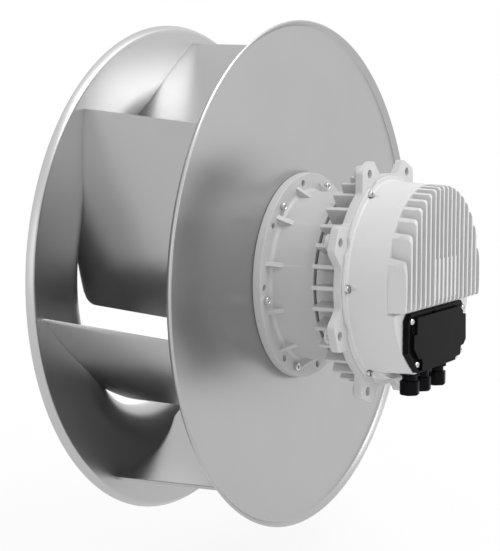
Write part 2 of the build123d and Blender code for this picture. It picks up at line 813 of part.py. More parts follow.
# Electronics housing: a round, slightly tapered casting, finned behind, with a flat
# ledge for the terminal cover and a flat belly for the cable glands
with BuildPart() as electronics_housing:
    with BuildSketch(Plane.XY) as body_profile:
        with BuildLine():
            Polyline(
                (0, 0),
                (housing_flange_r, 0),
                (housing_flange_r, -housing_flange_t),
                (housing_foot_r, -housing_flange_t),
                (housing_tip_r, sink_rear),
                (0, sink_rear),
                close=True,
            )
        make_face()
        root = body_profile.vertices().sort_by_distance((housing_foot_r, -housing_flange_t))[0]
        fillet(root, radius=housing_fillet)
        rear_corner = body_profile.vertices().sort_by_distance((housing_tip_r, sink_rear))[0]
        fillet(rear_corner, radius=sink_corner_r)
    revolve(axis=Axis.Y)
    with BuildSketch(across(0)) as scallops:
        with PolarLocations(lug_circle_r, lug_count, start_angle=lug_phase):
            Circle(scallop_r)
    extrude(amount=housing_flange_t + housing_fillet, mode=Mode.SUBTRACT)
    with BuildSketch(Plane.XY.offset(belly_z)) as gland_bed:
        with Locations(((belly_left_x + belly_right_x) / 2, (ledge - belly_front) / 2)):
            Rectangle(belly_right_x - belly_left_x, ledge_y - belly_front)
    extrude(amount=-belly_z / 2)
    for side in (-1, 1):
        with BuildSketch(across(-sink_floor)) as side_flat:
            with Locations((side * (side_flat_x + housing_foot_r) / 2, housing_foot_r / 2)):
                Rectangle(housing_foot_r - side_flat_x, housing_foot_r - 2 * ledge_z)
        extrude(amount=housing_depth, mode=Mode.SUBTRACT)
    with BuildSketch(across(ledge)) as ledge_cut:
        with Locations((0, sink_end_z - housing_foot_r / 2)):
            Rectangle(2 * flange_r, housing_foot_r)
    extrude(amount=housing_depth, mode=Mode.SUBTRACT)
    with BuildSketch(across(-sink_floor)) as ledge_slit:
        with Locations((0, (sink_end_z + ledge_z) / 2)):
            Rectangle(2 * flange_r, sink_end_z - ledge_z)
    extrude(amount=housing_depth, mode=Mode.SUBTRACT)
    with BuildSketch(across(-belly_front)) as belly_cut:
        with Locations((0, belly_z - housing_foot_r / 2)):
            Rectangle(2 * flange_r, housing_foot_r)
    extrude(amount=housing_depth, mode=Mode.SUBTRACT)
    with BuildSketch(across(-sink_floor)) as slots:
        for left_x, right_x in zip(sink_fin_xs[:-1], sink_fin_xs[1:]):
            slot_w = right_x - left_x - sink_fin_t
            with Locations(((left_x + right_x) / 2, (ledge_z + flange_r) / 2)):
                Rectangle(slot_w, flange_r - ledge_z)
    extrude(amount=housing_depth, mode=Mode.SUBTRACT)
    with BuildSketch(Plane.YZ) as fin_ends:
        with Locations((sink_rear + sink_corner_r / 2, sink_end_z + sink_corner_r / 2)):
            Rectangle(sink_corner_r, sink_corner_r)
        with Locations((sink_rear + sink_corner_r, sink_end_z + sink_corner_r)):
            Circle(sink_corner_r, mode=Mode.SUBTRACT)
    extrude(amount=housing_foot_r, both=True, mode=Mode.SUBTRACT)
    with BuildSketch(across(sink_rear + sink_pad_t)) as pads:
        pad_z = (sink_pad_top + sink_pad_bottom) / 2
        for fin_x in sink_fin_xs:
            if abs(fin_x) <= sink_half:
                with Locations((fin_x + sink_pad_extra / 2, pad_z)):
                    Rectangle(sink_fin_t + sink_pad_extra, sink_pad_top - sink_pad_bottom)
    extrude(amount=sink_pad_t)
    with BuildSketch(across(0)) as chamber:
        Circle(chamber_r)
        with Locations((0, room_floor_z - chamber_r / 2)):
            Rectangle(2 * chamber_r, chamber_r, mode=Mode.SUBTRACT)
    extrude(amount=chamber_depth, mode=Mode.SUBTRACT)
    with BuildSketch(across(room_front_y)) as gland_room:
        with Locations(((room_left_x + room_right_x) / 2, room_floor_z + room_height / 2)):
            Rectangle(room_right_x - room_left_x, room_height)
    extrude(amount=ledge_y - wall_under_cover + room_front_y, mode=Mode.SUBTRACT)
    with BuildSketch(across(-chamber_depth)) as compartment:
        Polygon(*[cover_place(corner) for corner in opening_corners], align=None)
    extrude(amount=ledge_y - chamber_depth, mode=Mode.SUBTRACT)
    with BuildSketch(across(board_y - board_t)) as posts:
        for angle in post_angles:
            with Locations(polar(post_circle_r, angle)):
                Circle(post_r)
    extrude(amount=chamber_depth + board_y - board_t)
    with BuildSketch(across(board_y - board_t)) as post_taps:
        for angle in post_angles:
            with Locations(polar(post_circle_r, angle)):
                Circle(post_screw_r + running_gap)
    extrude(amount=post_screw_depth, mode=Mode.SUBTRACT)
    with BuildSketch(Plane.XY.offset(belly_z)) as gland_holes:
        for gland_x in gland_xs:
            with Locations((gland_x, gland_y)):
                Circle(gland_thread_r + gland_hole_gap)
    extrude(amount=room_floor_z - belly_z, mode=Mode.SUBTRACT)
    with BuildSketch(across(ledge)) as cover_taps:
        for place in cover_screw_places:
            with Locations(place):
                Circle(cover_screw_d / 2 + running_gap)
    extrude(amount=-cover_screw_reach, mode=Mode.SUBTRACT)
    with BuildSketch(across(0)) as housing_holes:
        with PolarLocations(housing_screw_circle_r, housing_screw_count):
            Circle(housing_screw_d / 2 + running_gap)
    extrude(amount=housing_flange_t, mode=Mode.SUBTRACT)
    with BuildSketch(across(-housing_flange_t)) as head_pockets:
        with PolarLocations(housing_screw_circle_r, housing_screw_count):
            Circle(housing_screw_head_r + head_room)
    extrude(amount=housing_screw_head_h + head_room, mode=Mode.SUBTRACT)
    with BuildSketch(across(0)) as seal_groove:
        Circle(seal_groove_r + seal_groove_w / 2)
        Circle(seal_groove_r - seal_groove_w / 2, mode=Mode.SUBTRACT)
    extrude(amount=seal_groove_d, mode=Mode.SUBTRACT)
finish(electronics_housing, "electronics_housing")

# Housing seal: a rubber cord in the groove of the housing's mouth
with BuildPart() as housing_seal:
    with BuildSketch(across(-running_gap)) as seal_section:
        Circle(seal_groove_r + seal_groove_w / 2 - running_gap)
        Circle(seal_groove_r - seal_groove_w / 2 + running_gap, mode=Mode.SUBTRACT)
    extrude(amount=seal_groove_d - 2 * running_gap)
finish(housing_seal, "housing_seal")

# Housing screws: six socket screws from behind into the motor flange
with BuildPart() as housing_screws:
    with BuildSketch(across(-housing_flange_t)) as housing_heads:
        with PolarLocations(housing_screw_circle_r, housing_screw_count):
            Circle(housing_screw_head_r)
    extrude(amount=housing_screw_head_h)
    with BuildSketch(across(housing_screw_reach - running_gap)) as housing_shanks:
        with PolarLocations(housing_screw_circle_r, housing_screw_count):
            Circle(housing_screw_d / 2)
    extrude(amount=housing_screw_reach - running_gap + housing_flange_t)
finish(housing_screws, "housing_screws")

# Circuit board: a round board with a flat edge above the cable room
with BuildPart() as circuit_board:
    with BuildSketch(across(board_y)) as board_section:
        Circle(board_r)
        with Locations((0, board_flat_z - board_r / 2)):
            Rectangle(2 * board_r, board_r, mode=Mode.SUBTRACT)
        for angle in post_angles:
            with Locations(polar(post_circle_r, angle)):
                Circle(post_screw_r + running_gap, mode=Mode.SUBTRACT)
    extrude(amount=board_t)
finish(circuit_board, "circuit_board")

# Board screws: one into each post
with BuildPart() as board_screws:
    with BuildSketch(across(board_y + post_screw_head_h)) as board_heads:
        for angle in post_angles:
            with Locations(polar(post_circle_r, angle)):
                Circle(post_screw_head_r)
    extrude(amount=post_screw_head_h)
    with BuildSketch(across(board_y)) as board_shanks:
        for angle in post_angles:
            with Locations(polar(post_circle_r, angle)):
                Circle(post_screw_r)
    extrude(amount=board_t + post_screw_depth - running_gap)
finish(board_screws, "board_screws")

# Capacitors: cans that stand on the board, towards the heat sink
with BuildPart() as capacitors:
    with BuildSketch(across(board_y - board_t)) as capacitor_section:
        for capacitor_x in capacitor_xs:
            with Locations((capacitor_x, capacitor_z)):
                Circle(capacitor_r)
    extrude(amount=capacitor_h)
finish(capacitors, "capacitors")

# Power module: lies flat on the heat sink floor
with BuildPart() as power_module:
    with BuildSketch(across(-chamber_depth + module_size[2])) as module_section:
        with Locations((0, module_z)):
            Rectangle(module_size[0], module_size[1])
    extrude(amount=module_size[2])
finish(power_module, "power_module")

# Choke: a wound ring on the board
with BuildPart() as choke:
    with BuildSketch(across(board_y - board_t)) as choke_section:
        with Locations(choke_place):
            Circle(choke_r)
            Circle(choke_hole_r, mode=Mode.SUBTRACT)
    extrude(amount=choke_h)
    fillet(choke.edges().filter_by(GeomType.CIRCLE), radius=choke_edge_r)
finish(choke, "choke")

# Terminal block: clamps for the mains leads, reached through the terminal opening
with BuildPart() as terminal_block:
    with BuildSketch(across(board_y - board_t)) as block_section:
        with Locations((block_x, block_z)):
            Rectangle(block_size[0], block_size[1])
    extrude(amount=block_size[2])
    with BuildSketch(across(board_y - board_t - block_size[2])) as clamp_wells:
        with Locations((block_x, block_z)):
            with GridLocations(block_size[0] / clamp_count, 0, clamp_count, 1):
                Circle(clamp_r)
    extrude(amount=-clamp_depth, mode=Mode.SUBTRACT)
finish(terminal_block, "terminal_block")

# Motor leads and their grommet: from the windings through the flange to the board
lead_xs = [lead_pitch * (step - (lead_count - 1) / 2) for step in range(lead_count)]
with BuildPart() as motor_leads:
    with BuildSketch(across(core_y - coil_overhang)) as lead_section:
        for lead_x in lead_xs:
            with Locations((lead_x, lead_hole_circle_r)):
                Circle(lead_r)
    extrude(amount=core_y - coil_overhang - board_y)
finish(motor_leads, "motor_leads")

with BuildPart() as lead_grommet:
    with BuildSketch(across(flange_t + grommet_lip)) as grommet_head:
        with Locations((0, lead_hole_circle_r)):
            Circle(lead_hole_r + grommet_lip)
    extrude(amount=grommet_lip)
    with BuildSketch(across(flange_t)) as grommet_neck:
        with Locations((0, lead_hole_circle_r)):
            Circle(lead_hole_r - press_gap)
    extrude(amount=flange_t)
    with BuildSketch(across(flange_t + grommet_lip)) as grommet_holes:
        for lead_x in lead_xs:
            with Locations((lead_x, lead_hole_circle_r)):
                Circle(lead_r + press_gap)
    extrude(amount=flange_t + grommet_lip, mode=Mode.SUBTRACT)
finish(lead_grommet, "lead_grommet")

# Cover gasket: a flat ring between the ledge and the terminal cover
with BuildPart() as cover_gasket:
    with BuildSketch(across(ledge)) as gasket_section:
        cover_outline(press_gap)
        Polygon(*[cover_place(corner) for corner in opening_corners], align=None, mode=Mode.SUBTRACT)
        for place in cover_screw_places:
            with Locations(place):
                Circle(cover_screw_d / 2 + running_gap, mode=Mode.SUBTRACT)
    extrude(amount=cover_gasket_t)
finish(cover_gasket, "cover_gasket")

# Terminal cover: a plate with a low rim and a raised panel that leaves wells for the screws
with BuildPart() as terminal_cover:
    with BuildSketch(across(cover_back_y)) as cover_plate:
        cover_outline()
    extrude(amount=cover_base_t)
    with BuildSketch(across(cover_floor_y)) as cover_rim:
        cover_outline()
        cover_outline(cover_rim_w, Mode.SUBTRACT)
        rim_middle_z = (cover_top + cover_bottom) / 2
        Polygon(
            (cover_half - cover_foot_x, 2 * cover_bottom),
            (cover_half - cover_foot_x, rim_middle_z),
            (cover_half - cover_rim_end_x, rim_middle_z),
            (cover_half - cover_rim_end_x, 0),
            (2 * cover_half, 0),
            (2 * cover_half, 2 * cover_bottom),
            align=None,
            mode=Mode.SUBTRACT,
        )
    extrude(amount=cover_rim_t)
    with BuildSketch(across(cover_floor_y)) as cover_panel:
        Polygon(*[cover_place(corner) for corner in panel_corners], align=None)
    extrude(amount=cover_panel_t)
    with BuildSketch(across(cover_floor_y)) as cover_boss:
        with Locations(cover_place(cover_boss_corner)):
            Circle(cover_boss_r)
            Circle(cover_boss_hole_r, mode=Mode.SUBTRACT)
    extrude(amount=cover_boss_h)
    with BuildSketch(across(cover_floor_y)) as pry_slot:
        with Locations((pry_slot_x, cover_top - cover_rim_w - pry_slot_h / 2)):
            Rectangle(pry_slot_w, pry_slot_h)
    extrude(amount=-pry_slot_d, mode=Mode.SUBTRACT)
    with BuildSketch(across(cover_back_y)) as cover_holes:
        for place in cover_screw_places:
            with Locations(place):
                Circle(cover_screw_d / 2 + running_gap)
    extrude(amount=cover_base_t, mode=Mode.SUBTRACT)
finish(terminal_cover, "terminal_cover")

# Cover screws: four, with low round heads
with BuildPart() as cover_screws:
    with BuildSketch(across(cover_floor_y)) as cover_heads:
        for place in cover_screw_places:
            with Locations(place):
                Circle(cover_screw_head_r)
    extrude(amount=cover_screw_head_h)
    with BuildSketch(across(ledge + cover_screw_reach - running_gap)) as cover_shanks:
        for place in cover_screw_places:
            with Locations(place):
                Circle(cover_screw_d / 2)
    extrude(amount=cover_screw_reach - running_gap + cover_gasket_t + cover_base_t)
finish(cover_screws, "cover_screws")

# Cable glands: seal ring, body, clamping insert, cap nut and locknut
seal_bottom_z = belly_z - gland_seal_t
hex_bottom_z = seal_bottom_z - gland_hex_h
neck_bottom_z = hex_bottom_z - gland_neck_h
nut_bottom_z = neck_bottom_z - gland_nut_h
insert_r = gland_bore_r + gland_insert_wall


def gland_stack():
    """The three gland axes, for a sketch that lies flat across them."""
    return Locations(*[(gland_x, gland_y) for gland_x in gland_xs])


with BuildPart() as gland_seals:
    with BuildSketch(Plane.XY.offset(seal_bottom_z)) as seal_rings:
        with gland_stack():
            Circle(gland_seal_r)
            Circle(gland_thread_r + gland_hole_gap, mode=Mode.SUBTRACT)
    extrude(amount=gland_seal_t)
finish(gland_seals, "gland_seals")

with BuildPart() as gland_bodies:
    with BuildSketch(Plane.XY.offset(hex_bottom_z)) as gland_hexes:
        with gland_stack():
            RegularPolygon(gland_hex_af / 2, 6, major_radius=False)
    extrude(amount=gland_hex_h)
    with BuildSketch(Plane.XY.offset(seal_bottom_z)) as gland_threads:
        with gland_stack():
            Circle(gland_thread_r)
    extrude(amount=room_floor_z + gland_locknut_h + gland_thread_end - seal_bottom_z)
    with BuildSketch(Plane.XY.offset(hex_bottom_z)) as gland_necks:
        with gland_stack():
            Circle(gland_neck_r)
    extrude(amount=-gland_neck_h - gland_nut_h / 2)
    with BuildSketch(Plane.XY.offset(nut_bottom_z)) as gland_bores:
        with gland_stack():
            Circle(insert_r + press_gap)
    extrude(amount=gland_nut_h + gland_neck_h, mode=Mode.SUBTRACT)
    with BuildSketch(Plane.XY.offset(nut_bottom_z)) as gland_throats:
        with gland_stack():
            Circle(gland_bore_r)
    extrude(amount=-2 * nut_bottom_z, mode=Mode.SUBTRACT)
finish(gland_bodies, "gland_bodies")

with BuildPart() as gland_inserts:
    with BuildSketch(Plane.XY.offset(nut_bottom_z + gland_nut_crown)) as insert_section:
        with gland_stack():
            Circle(insert_r)
            Circle(gland_bore_r, mode=Mode.SUBTRACT)
    extrude(amount=gland_nut_h - gland_nut_crown + gland_neck_h - press_gap)
finish(gland_inserts, "gland_inserts")

with BuildPart() as gland_nuts:
    with BuildSketch(Plane.XY.offset(nut_bottom_z)) as nut_outsides:
        with gland_stack():
            RegularPolygon(gland_nut_af / 2, 6, major_radius=False, rotation=gland_nut_turn)
        fillet(nut_outsides.vertices(), radius=gland_nut_corner_r)
    extrude(amount=gland_nut_h)
    fillet(gland_nuts.edges().group_by(Axis.Z)[0], radius=gland_nut_edge_r)
    with BuildSketch(Plane.XY.offset(nut_bottom_z)) as nut_throats:
        with gland_stack():
            Circle(gland_bore_r + gland_insert_wall / 2)
    extrude(amount=gland_nut_h, mode=Mode.SUBTRACT)
    with BuildSketch(Plane.XY.offset(nut_bottom_z + gland_nut_crown)) as nut_insides:
        with gland_stack():
            Circle(gland_neck_r + gland_hole_gap)
    extrude(amount=gland_nut_h, mode=Mode.SUBTRACT)
finish(gland_nuts, "gland_nuts")

with BuildPart() as gland_locknuts:
    with BuildSketch(Plane.XY.offset(room_floor_z)) as locknut_section:
        with gland_stack():
            RegularPolygon(gland_locknut_af / 2, 6, major_radius=False)
            Circle(gland_thread_r + gland_hole_gap, mode=Mode.SUBTRACT)
    extrude(amount=gland_locknut_h)
finish(gland_locknuts, "gland_locknuts")
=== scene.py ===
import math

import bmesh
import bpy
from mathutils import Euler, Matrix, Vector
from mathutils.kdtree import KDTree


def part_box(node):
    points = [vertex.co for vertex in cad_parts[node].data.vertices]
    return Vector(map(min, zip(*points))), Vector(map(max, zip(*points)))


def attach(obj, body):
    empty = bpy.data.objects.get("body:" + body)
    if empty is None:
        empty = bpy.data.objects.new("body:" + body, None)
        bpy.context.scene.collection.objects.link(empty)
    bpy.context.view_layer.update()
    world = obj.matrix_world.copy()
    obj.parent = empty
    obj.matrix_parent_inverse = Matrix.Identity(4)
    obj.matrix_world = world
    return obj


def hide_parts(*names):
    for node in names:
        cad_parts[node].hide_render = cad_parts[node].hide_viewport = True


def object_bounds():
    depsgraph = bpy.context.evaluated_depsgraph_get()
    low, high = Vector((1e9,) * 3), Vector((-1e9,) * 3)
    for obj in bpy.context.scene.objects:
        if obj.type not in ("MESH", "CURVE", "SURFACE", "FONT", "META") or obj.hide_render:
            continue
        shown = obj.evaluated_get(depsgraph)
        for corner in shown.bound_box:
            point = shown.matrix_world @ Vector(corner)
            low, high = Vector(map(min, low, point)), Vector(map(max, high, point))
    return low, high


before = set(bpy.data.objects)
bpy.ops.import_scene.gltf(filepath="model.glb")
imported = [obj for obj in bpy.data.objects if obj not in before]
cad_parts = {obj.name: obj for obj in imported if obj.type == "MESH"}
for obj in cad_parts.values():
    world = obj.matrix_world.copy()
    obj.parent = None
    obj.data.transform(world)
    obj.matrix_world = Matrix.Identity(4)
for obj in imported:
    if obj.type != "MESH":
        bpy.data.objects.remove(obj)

# %% [markdown]
# # A plug fan, dressed around its CAD frame
#
# The fan is an impeller of sheet aluminium on a motor whose outside turns. Behind the motor sits
# a cast housing with the electronics, a black terminal cover and three cable glands.
# The CAD model gives every piece its size and place. Here the pieces get smooth sheet, rounded
# castings, real screws and their finishes, so that the fan looks like the one in the photograph.

MM = 0.001
cad_low, cad_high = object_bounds()
cad_size = cad_high - cad_low
print("CAD box in mm:", [round(side / MM, 1) for side in cad_size])

# %% [markdown]
# ## Meshes and finishing
#
# Sheet metal and turned parts are surfaces of revolution: one path turned about the fan's axis.
# They could be modelled by hand from a cylinder, but a path keeps each radius a number.
# Castings start from their CAD solids. Every piece then gets a small rounding on its edges,
# because a real edge is never sharp, and only a rounded edge catches a line of light.

# %% Make an object from points and faces
def new_object(name, mesh):
    """Object of the mesh, in the scene, at the origin."""
    thing = bpy.data.objects.new(name, mesh)
    bpy.context.scene.collection.objects.link(thing)
    return thing


def object_from(name, points, faces):
    """Object of points in millimetres and of faces that list them."""
    mesh = bpy.data.meshes.new(name)
    mesh.from_pydata([Vector(point) * MM for point in points], [], faces)
    shape = bmesh.new()
    shape.from_mesh(mesh)
    bmesh.ops.remove_doubles(shape, verts=shape.verts, dist=0.001 * MM)
    bmesh.ops.recalc_face_normals(shape, faces=shape.faces)
    shape.to_mesh(mesh)
    shape.free()
    return new_object(name, mesh)


# %% Turn modifiers into a plain mesh
def with_modifiers(thing):
    """Mesh of the object as its modifiers leave it."""
    graph = bpy.context.evaluated_depsgraph_get()
    graph.update()
    return bpy.data.meshes.new_from_object(thing.evaluated_get(graph))


def apply_modifiers(thing):
    """Turns the object's modifiers into its mesh."""
    mesh = with_modifiers(thing)
    thing.modifiers.clear()
    thing.data = mesh


# %% Finish a piece: edges are rounded, and flat and round faces part at an angle
crease = 32


def settle(thing, angle=crease):
    """Turns the modifiers into the mesh, and shades it smooth up to an angle in degrees."""
    apply_modifiers(thing)
    thing.data.shade_smooth()
    thing.data.set_sharp_from_angle(angle=math.radians(angle))
    return thing


def soften(thing, width, segments=2):
    """Rounds the object's sharp edges by a width in millimetres."""
    bevel = thing.modifiers.new("rounding", "BEVEL")
    bevel.width = width * MM
    bevel.segments = segments
    bevel.limit_method = "ANGLE"
    bevel.angle_limit = math.radians(crease)
    return settle(thing)


def even_out(thing):
    """Shades flat faces as flat, so that only the roundings beside them blend."""
    weigh = thing.modifiers.new("flat faces stay flat", "WEIGHTED_NORMAL")
    weigh.keep_sharp = True
    weigh.weight = 90
    apply_modifiers(thing)


def thicken(thing, wall):
    """Gives an open sheet its wall in millimetres, half to each side."""
    solidify = thing.modifiers.new("wall", "SOLIDIFY")
    solidify.thickness = wall * MM
    solidify.offset = 0
    solidify.use_even_offset = True
    return thing


# %% Turn a path about the fan axis
def rounded_path(corners, steps=8):
    """Path through (radius, height, rounding) corners, with each rounding as an arc."""
    path = []
    for place, (r, y, rounding) in enumerate(corners):
        if rounding == 0:
            path.append((r, y))
            continue
        here = Vector((r, y))
        before = (Vector(corners[place - 1][:2]) - here).normalized()
        after = (Vector(corners[(place + 1) % len(corners)][:2]) - here).normalized()
        half = before.angle(after) / 2
        reach = rounding / math.tan(half)
        centre = here + (before + after).normalized() * (rounding / math.sin(half))
        start = here + before * reach - centre
        end = here + after * reach - centre
        for step in range(steps + 1):
            path.append(tuple(centre + start.slerp(end, step / steps) * rounding))
    return path


def swept_faces(columns, rows, closed=False):
    """Quads between neighbouring columns of points, all the way round."""
    faces = []
    for column in range(columns):
        here, there = column * rows, (column + 1) % columns * rows
        for row in range(rows if closed else rows - 1):
            up = (row + 1) % rows
            faces.append((here + row, there + row, there + up, here + up))
    return faces


def turned(name, path, sides=256):
    """Open surface that a path of (radius, height) pairs sweeps about the fan axis."""
    points = []
    for side in range(sides):
        angle = 2 * math.pi * side / sides
        for r, y in path:
            points.append((r * math.cos(angle), y, r * math.sin(angle)))
    return object_from(name, points, swept_faces(sides, len(path)))


# %% [markdown]
# ## Rounded castings
#
# The edges of a casting are rounded where the metal met the mould. Some of them lie closer
# together than the rounding is wide, and one rounding clamped to the tightest place would vanish
# everywhere. So each edge gets the share that it has room for, and the few places where the
# rounding would still fold the surface stay sharp.

# %% Find how far each sharp edge of a casting can be rounded
room_share = 0.45
beside_slope = 0.35
opposite_slope = 0.5
tiny = 1e-12


def room_at(edge, width):
    """Room in metres, up to the width, between a sharp edge and whatever lies beside it."""
    room = width
    middle = (edge.verts[0].co + edge.verts[1].co) / 2
    along = (edge.verts[1].co - edge.verts[0].co).normalized()
    for vert in edge.verts:
        for other in vert.link_edges:
            reach = other.other_vert(vert).co - vert.co
            sideways = (reach - along * reach.dot(along)).length
            if other != edge and sideways > beside_slope * reach.length:
                room = min(room, room_share * sideways)
    for face in edge.link_faces:
        for other in face.edges:
            if other == edge or edge.verts[0] in other.verts or edge.verts[1] in other.verts:
                continue
            start = other.verts[0].co
            span = other.verts[1].co - start
            share = min(1, max(0, (middle - start).dot(span) / max(span.length_squared, tiny)))
            gap = start + span * share - middle
            sideways = (gap - along * gap.dot(along)).length
            if sideways > opposite_slope * gap.length:
                room = min(room, room_share * sideways)
    return room


# %% Write down each sharp edge's share of the rounding
spread_rounds = 6
spread_slope = 0.3


def share_room(shape, width):
    """Writes the share of each sharp edge, which changes slowly along a line of edges."""
    weight = shape.edges.layers.float.new("bevel_weight_edge")
    sharp = {
        edge for edge in shape.edges
        if len(edge.link_faces) == 2 and edge.calc_face_angle() > math.radians(crease)
    }
    room = {edge: room_at(edge, width) for edge in sharp}
    for _ in range(spread_rounds):
        for edge in sharp:
            for vert in edge.verts:
                for other in vert.link_edges:
                    if other in sharp and other != edge:
                        room[edge] = min(room[edge], room[other] + spread_slope * edge.calc_length())
    for edge in sharp:
        edge[weight] = room[edge] / width
    shares = sorted(room[edge] / width for edge in sharp)
    print("sharp edges", len(sharp), "median share of the rounding", round(shares[len(shares) // 2], 2))


# %% Find where a rounding folds the surface
turned_over = 0.5
bent_back = 125
speck_area = 1e-10
speck_length = 1e-6


def folded_spots(mesh):
    """Corners of the triangles that lie turned over in their own face, and of edges bent back."""
    mesh.calc_loop_triangles()
    spots = []
    for triangle in mesh.loop_triangles:
        face = mesh.polygons[triangle.polygon_index]
        if triangle.area > speck_area and triangle.normal.dot(face.normal) < turned_over:
            spots += [mesh.vertices[corner].co.copy() for corner in triangle.vertices]
    shape = bmesh.new()
    shape.from_mesh(mesh)
    for edge in shape.edges:
        if len(edge.link_faces) != 2 or edge.calc_face_angle() > math.radians(bent_back):
            if edge.calc_length() > speck_length:
                spots += [corner.co.copy() for corner in edge.verts]
    shape.free()
    return spots


# %% Leave an edge sharp where its rounding would fold the surface
unfold_rounds = 6


def unfold(piece, reach):
    """Takes the rounding from the edges within reach of a fold, while that still mends folds."""
    last = None
    for _ in range(unfold_rounds):
        mesh = with_modifiers(piece)
        spots = folded_spots(mesh)
        bpy.data.meshes.remove(mesh)
        print(piece.name, "has", len(spots), "folded corners")
        if len(spots) in (0, last):
            break
        last = len(spots)
        tree = KDTree(len(spots))
        for number, spot in enumerate(spots):
            tree.insert(spot, number)
        tree.balance()
        shares = piece.data.attributes["bevel_weight_edge"].data
        for edge in piece.data.edges:
            ends = [piece.data.vertices[corner].co for corner in edge.vertices]
            if min(tree.find(end)[2] for end in ends) < reach:
                shares[edge.index].value = 0


# %% Take a casting from its CAD solid
same_point = 0.002
same_plane = 0.5
fold_reach = 2


def casting(name, node, rounding, segments=2, reshape=None):
    """Copy of a CAD node with its flat faces made whole, reshaped if asked, and its edges rounded."""
    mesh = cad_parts[node].data.copy()
    mesh.name = name
    mesh.materials.clear()
    shape = bmesh.new()
    shape.from_mesh(mesh)
    bmesh.ops.remove_doubles(shape, verts=shape.verts, dist=same_point * MM)
    bmesh.ops.dissolve_limit(
        shape,
        angle_limit=math.radians(same_plane),
        use_dissolve_boundaries=False,
        verts=shape.verts,
        edges=shape.edges,
    )
    if reshape:
        reshape(shape)
    share_room(shape, rounding * MM)
    shape.to_mesh(mesh)
    shape.free()
    piece = new_object(name, mesh)
    bevel = piece.modifiers.new("rounding", "BEVEL")
    bevel.width = rounding * MM
    bevel.segments = segments
    bevel.limit_method = "WEIGHT"
    bevel.use_clamp_overlap = False
    unfold(piece, fold_reach * rounding * MM)
    even_out(settle(piece))
    print(name, "has", len(piece.data.polygons), "faces")
    return piece


def place(piece, body, slot, material, *nodes):
    """Gives a finished piece its finish and its CAD body, and hides the nodes that it stands for. The slot
    is not used.
    """
    piece.data.materials.clear()
    piece.data.materials.append(material)
    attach(piece, body)
    if nodes:
        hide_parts(*nodes)


# %% [markdown]
# ## Copies by Geometry Nodes
#
# A fan is full of things that repeat round its axis or stand in a row: blades, screws, nuts,
# glands. An Array modifier could repeat them at even steps only. Here one tree copies a part to
# the points of a carrier mesh, and each point holds its own turn. The tree realizes the copies
# and sets their material, so a plain mesh is left.

# %% Start a tree, and run it on an object
def new_tree(name, inputs, output):
    """Node tree with its named inputs and one geometry output, and the two nodes for them."""
    tree = bpy.data.node_groups.new(name, "GeometryNodeTree")
    for label, kind in inputs.items():
        tree.interface.new_socket(label, in_out="INPUT", socket_type="NodeSocket" + kind)
    tree.interface.new_socket(output, in_out="OUTPUT", socket_type="NodeSocketGeometry")
    return tree, tree.nodes.new("NodeGroupInput"), tree.nodes.new("NodeGroupOutput")


def run_tree(thing, tree, values):
    """Gives the object the tree as a modifier, with values for its named inputs."""
    modifier = thing.modifiers.new(tree.name, "NODES")
    modifier.node_group = tree
    for socket in tree.interface.items_tree:
        if socket.in_out == "INPUT" and socket.name in values:
            modifier[socket.identifier] = values[socket.name]


# %% Build the tree that copies a part to marked points
def copies_tree():
    """Node tree: the part, at each point of the carrier, turned by the point's own turn."""
    inputs = {"Carrier": "Geometry", "Part": "Object", "Finish": "Material"}
    tree, source, result = new_tree("part at marked points", inputs, "Copies")
    part = tree.nodes.new("GeometryNodeObjectInfo")
    turn = tree.nodes.new("GeometryNodeInputNamedAttribute")
    turn.data_type = "FLOAT_VECTOR"
    turn.inputs["Name"].default_value = "turn"
    copy = tree.nodes.new("GeometryNodeInstanceOnPoints")
    whole = tree.nodes.new("GeometryNodeRealizeInstances")
    coat = tree.nodes.new("GeometryNodeSetMaterial")
    link = tree.links.new
    link(source.outputs["Carrier"], copy.inputs["Points"])
    link(source.outputs["Part"], part.inputs["Object"])
    link(part.outputs["Geometry"], copy.inputs["Instance"])
    link(turn.outputs["Attribute"], copy.inputs["Rotation"])
    link(copy.outputs["Instances"], whole.inputs["Geometry"])
    link(whole.outputs["Geometry"], coat.inputs["Geometry"])
    link(source.outputs["Finish"], coat.inputs["Material"])
    link(coat.outputs["Geometry"], result.inputs["Copies"])
    return tree


part_at_points = copies_tree()


def copies(name, part, places, turns, material):
    """Copies of a part at places in millimetres, each turned by its own angles in degrees."""
    mesh = bpy.data.meshes.new(name)
    mesh.from_pydata([Vector(point) * MM for point in places], [], [])
    attribute = mesh.attributes.new("turn", "FLOAT_VECTOR", "POINT")
    for number, angles in enumerate(turns):
        attribute.data[number].vector = [math.radians(angle) for angle in angles]
    carrier = new_object(name, mesh)
    run_tree(carrier, part_at_points, {"Part": part, "Finish": material})
    settle(carrier)
    bpy.data.objects.remove(part)
    print(name, "is", len(places), "copies with", len(carrier.data.polygons), "faces")
    return carrier


# %% Find places and turns round the fan axis
def polar(radius, angle):
    """X and Z of a point from its radius and its angle in degrees."""
    return radius * math.cos(math.radians(angle)), radius * math.sin(math.radians(angle))


def round_axis(count, first=0.0):
    """Angles in degrees of a count of places round the fan axis."""
    return [first + number * 360 / count for number in range(count)]


def on_circle(radius, height, angles):
    """Points on a circle about the fan axis, at one height along it."""
    return [(polar(radius, angle)[0], height, polar(radius, angle)[1]) for angle in angles]


def facing_out(angles):
    """Turns that point a part's own X axis away from the fan axis."""
    return [(0, -angle, 0) for angle in angles]


# %% [markdown]
# ## Finishes
#
# Each finish has a grain at its real scale. Paint has a faint orange peel, sheet metal has fine
# rolling lines and patches of unlike gloss, and moulded plastic has a fine spark-eroded grain.
# Pictures wrapped round the pieces could show this too, but would need seams and files. Noise
# read in object coordinates needs neither, and stays put on the piece.

# %% Start a material and give it uneven gloss and grain
patch_scale = 14.0
tint = 0.04
bump_strength = 0.35


def set_inputs(node, values):
    """Sets inputs of a node by their names."""
    for name, value in values.items():
        node.inputs[name].default_value = value


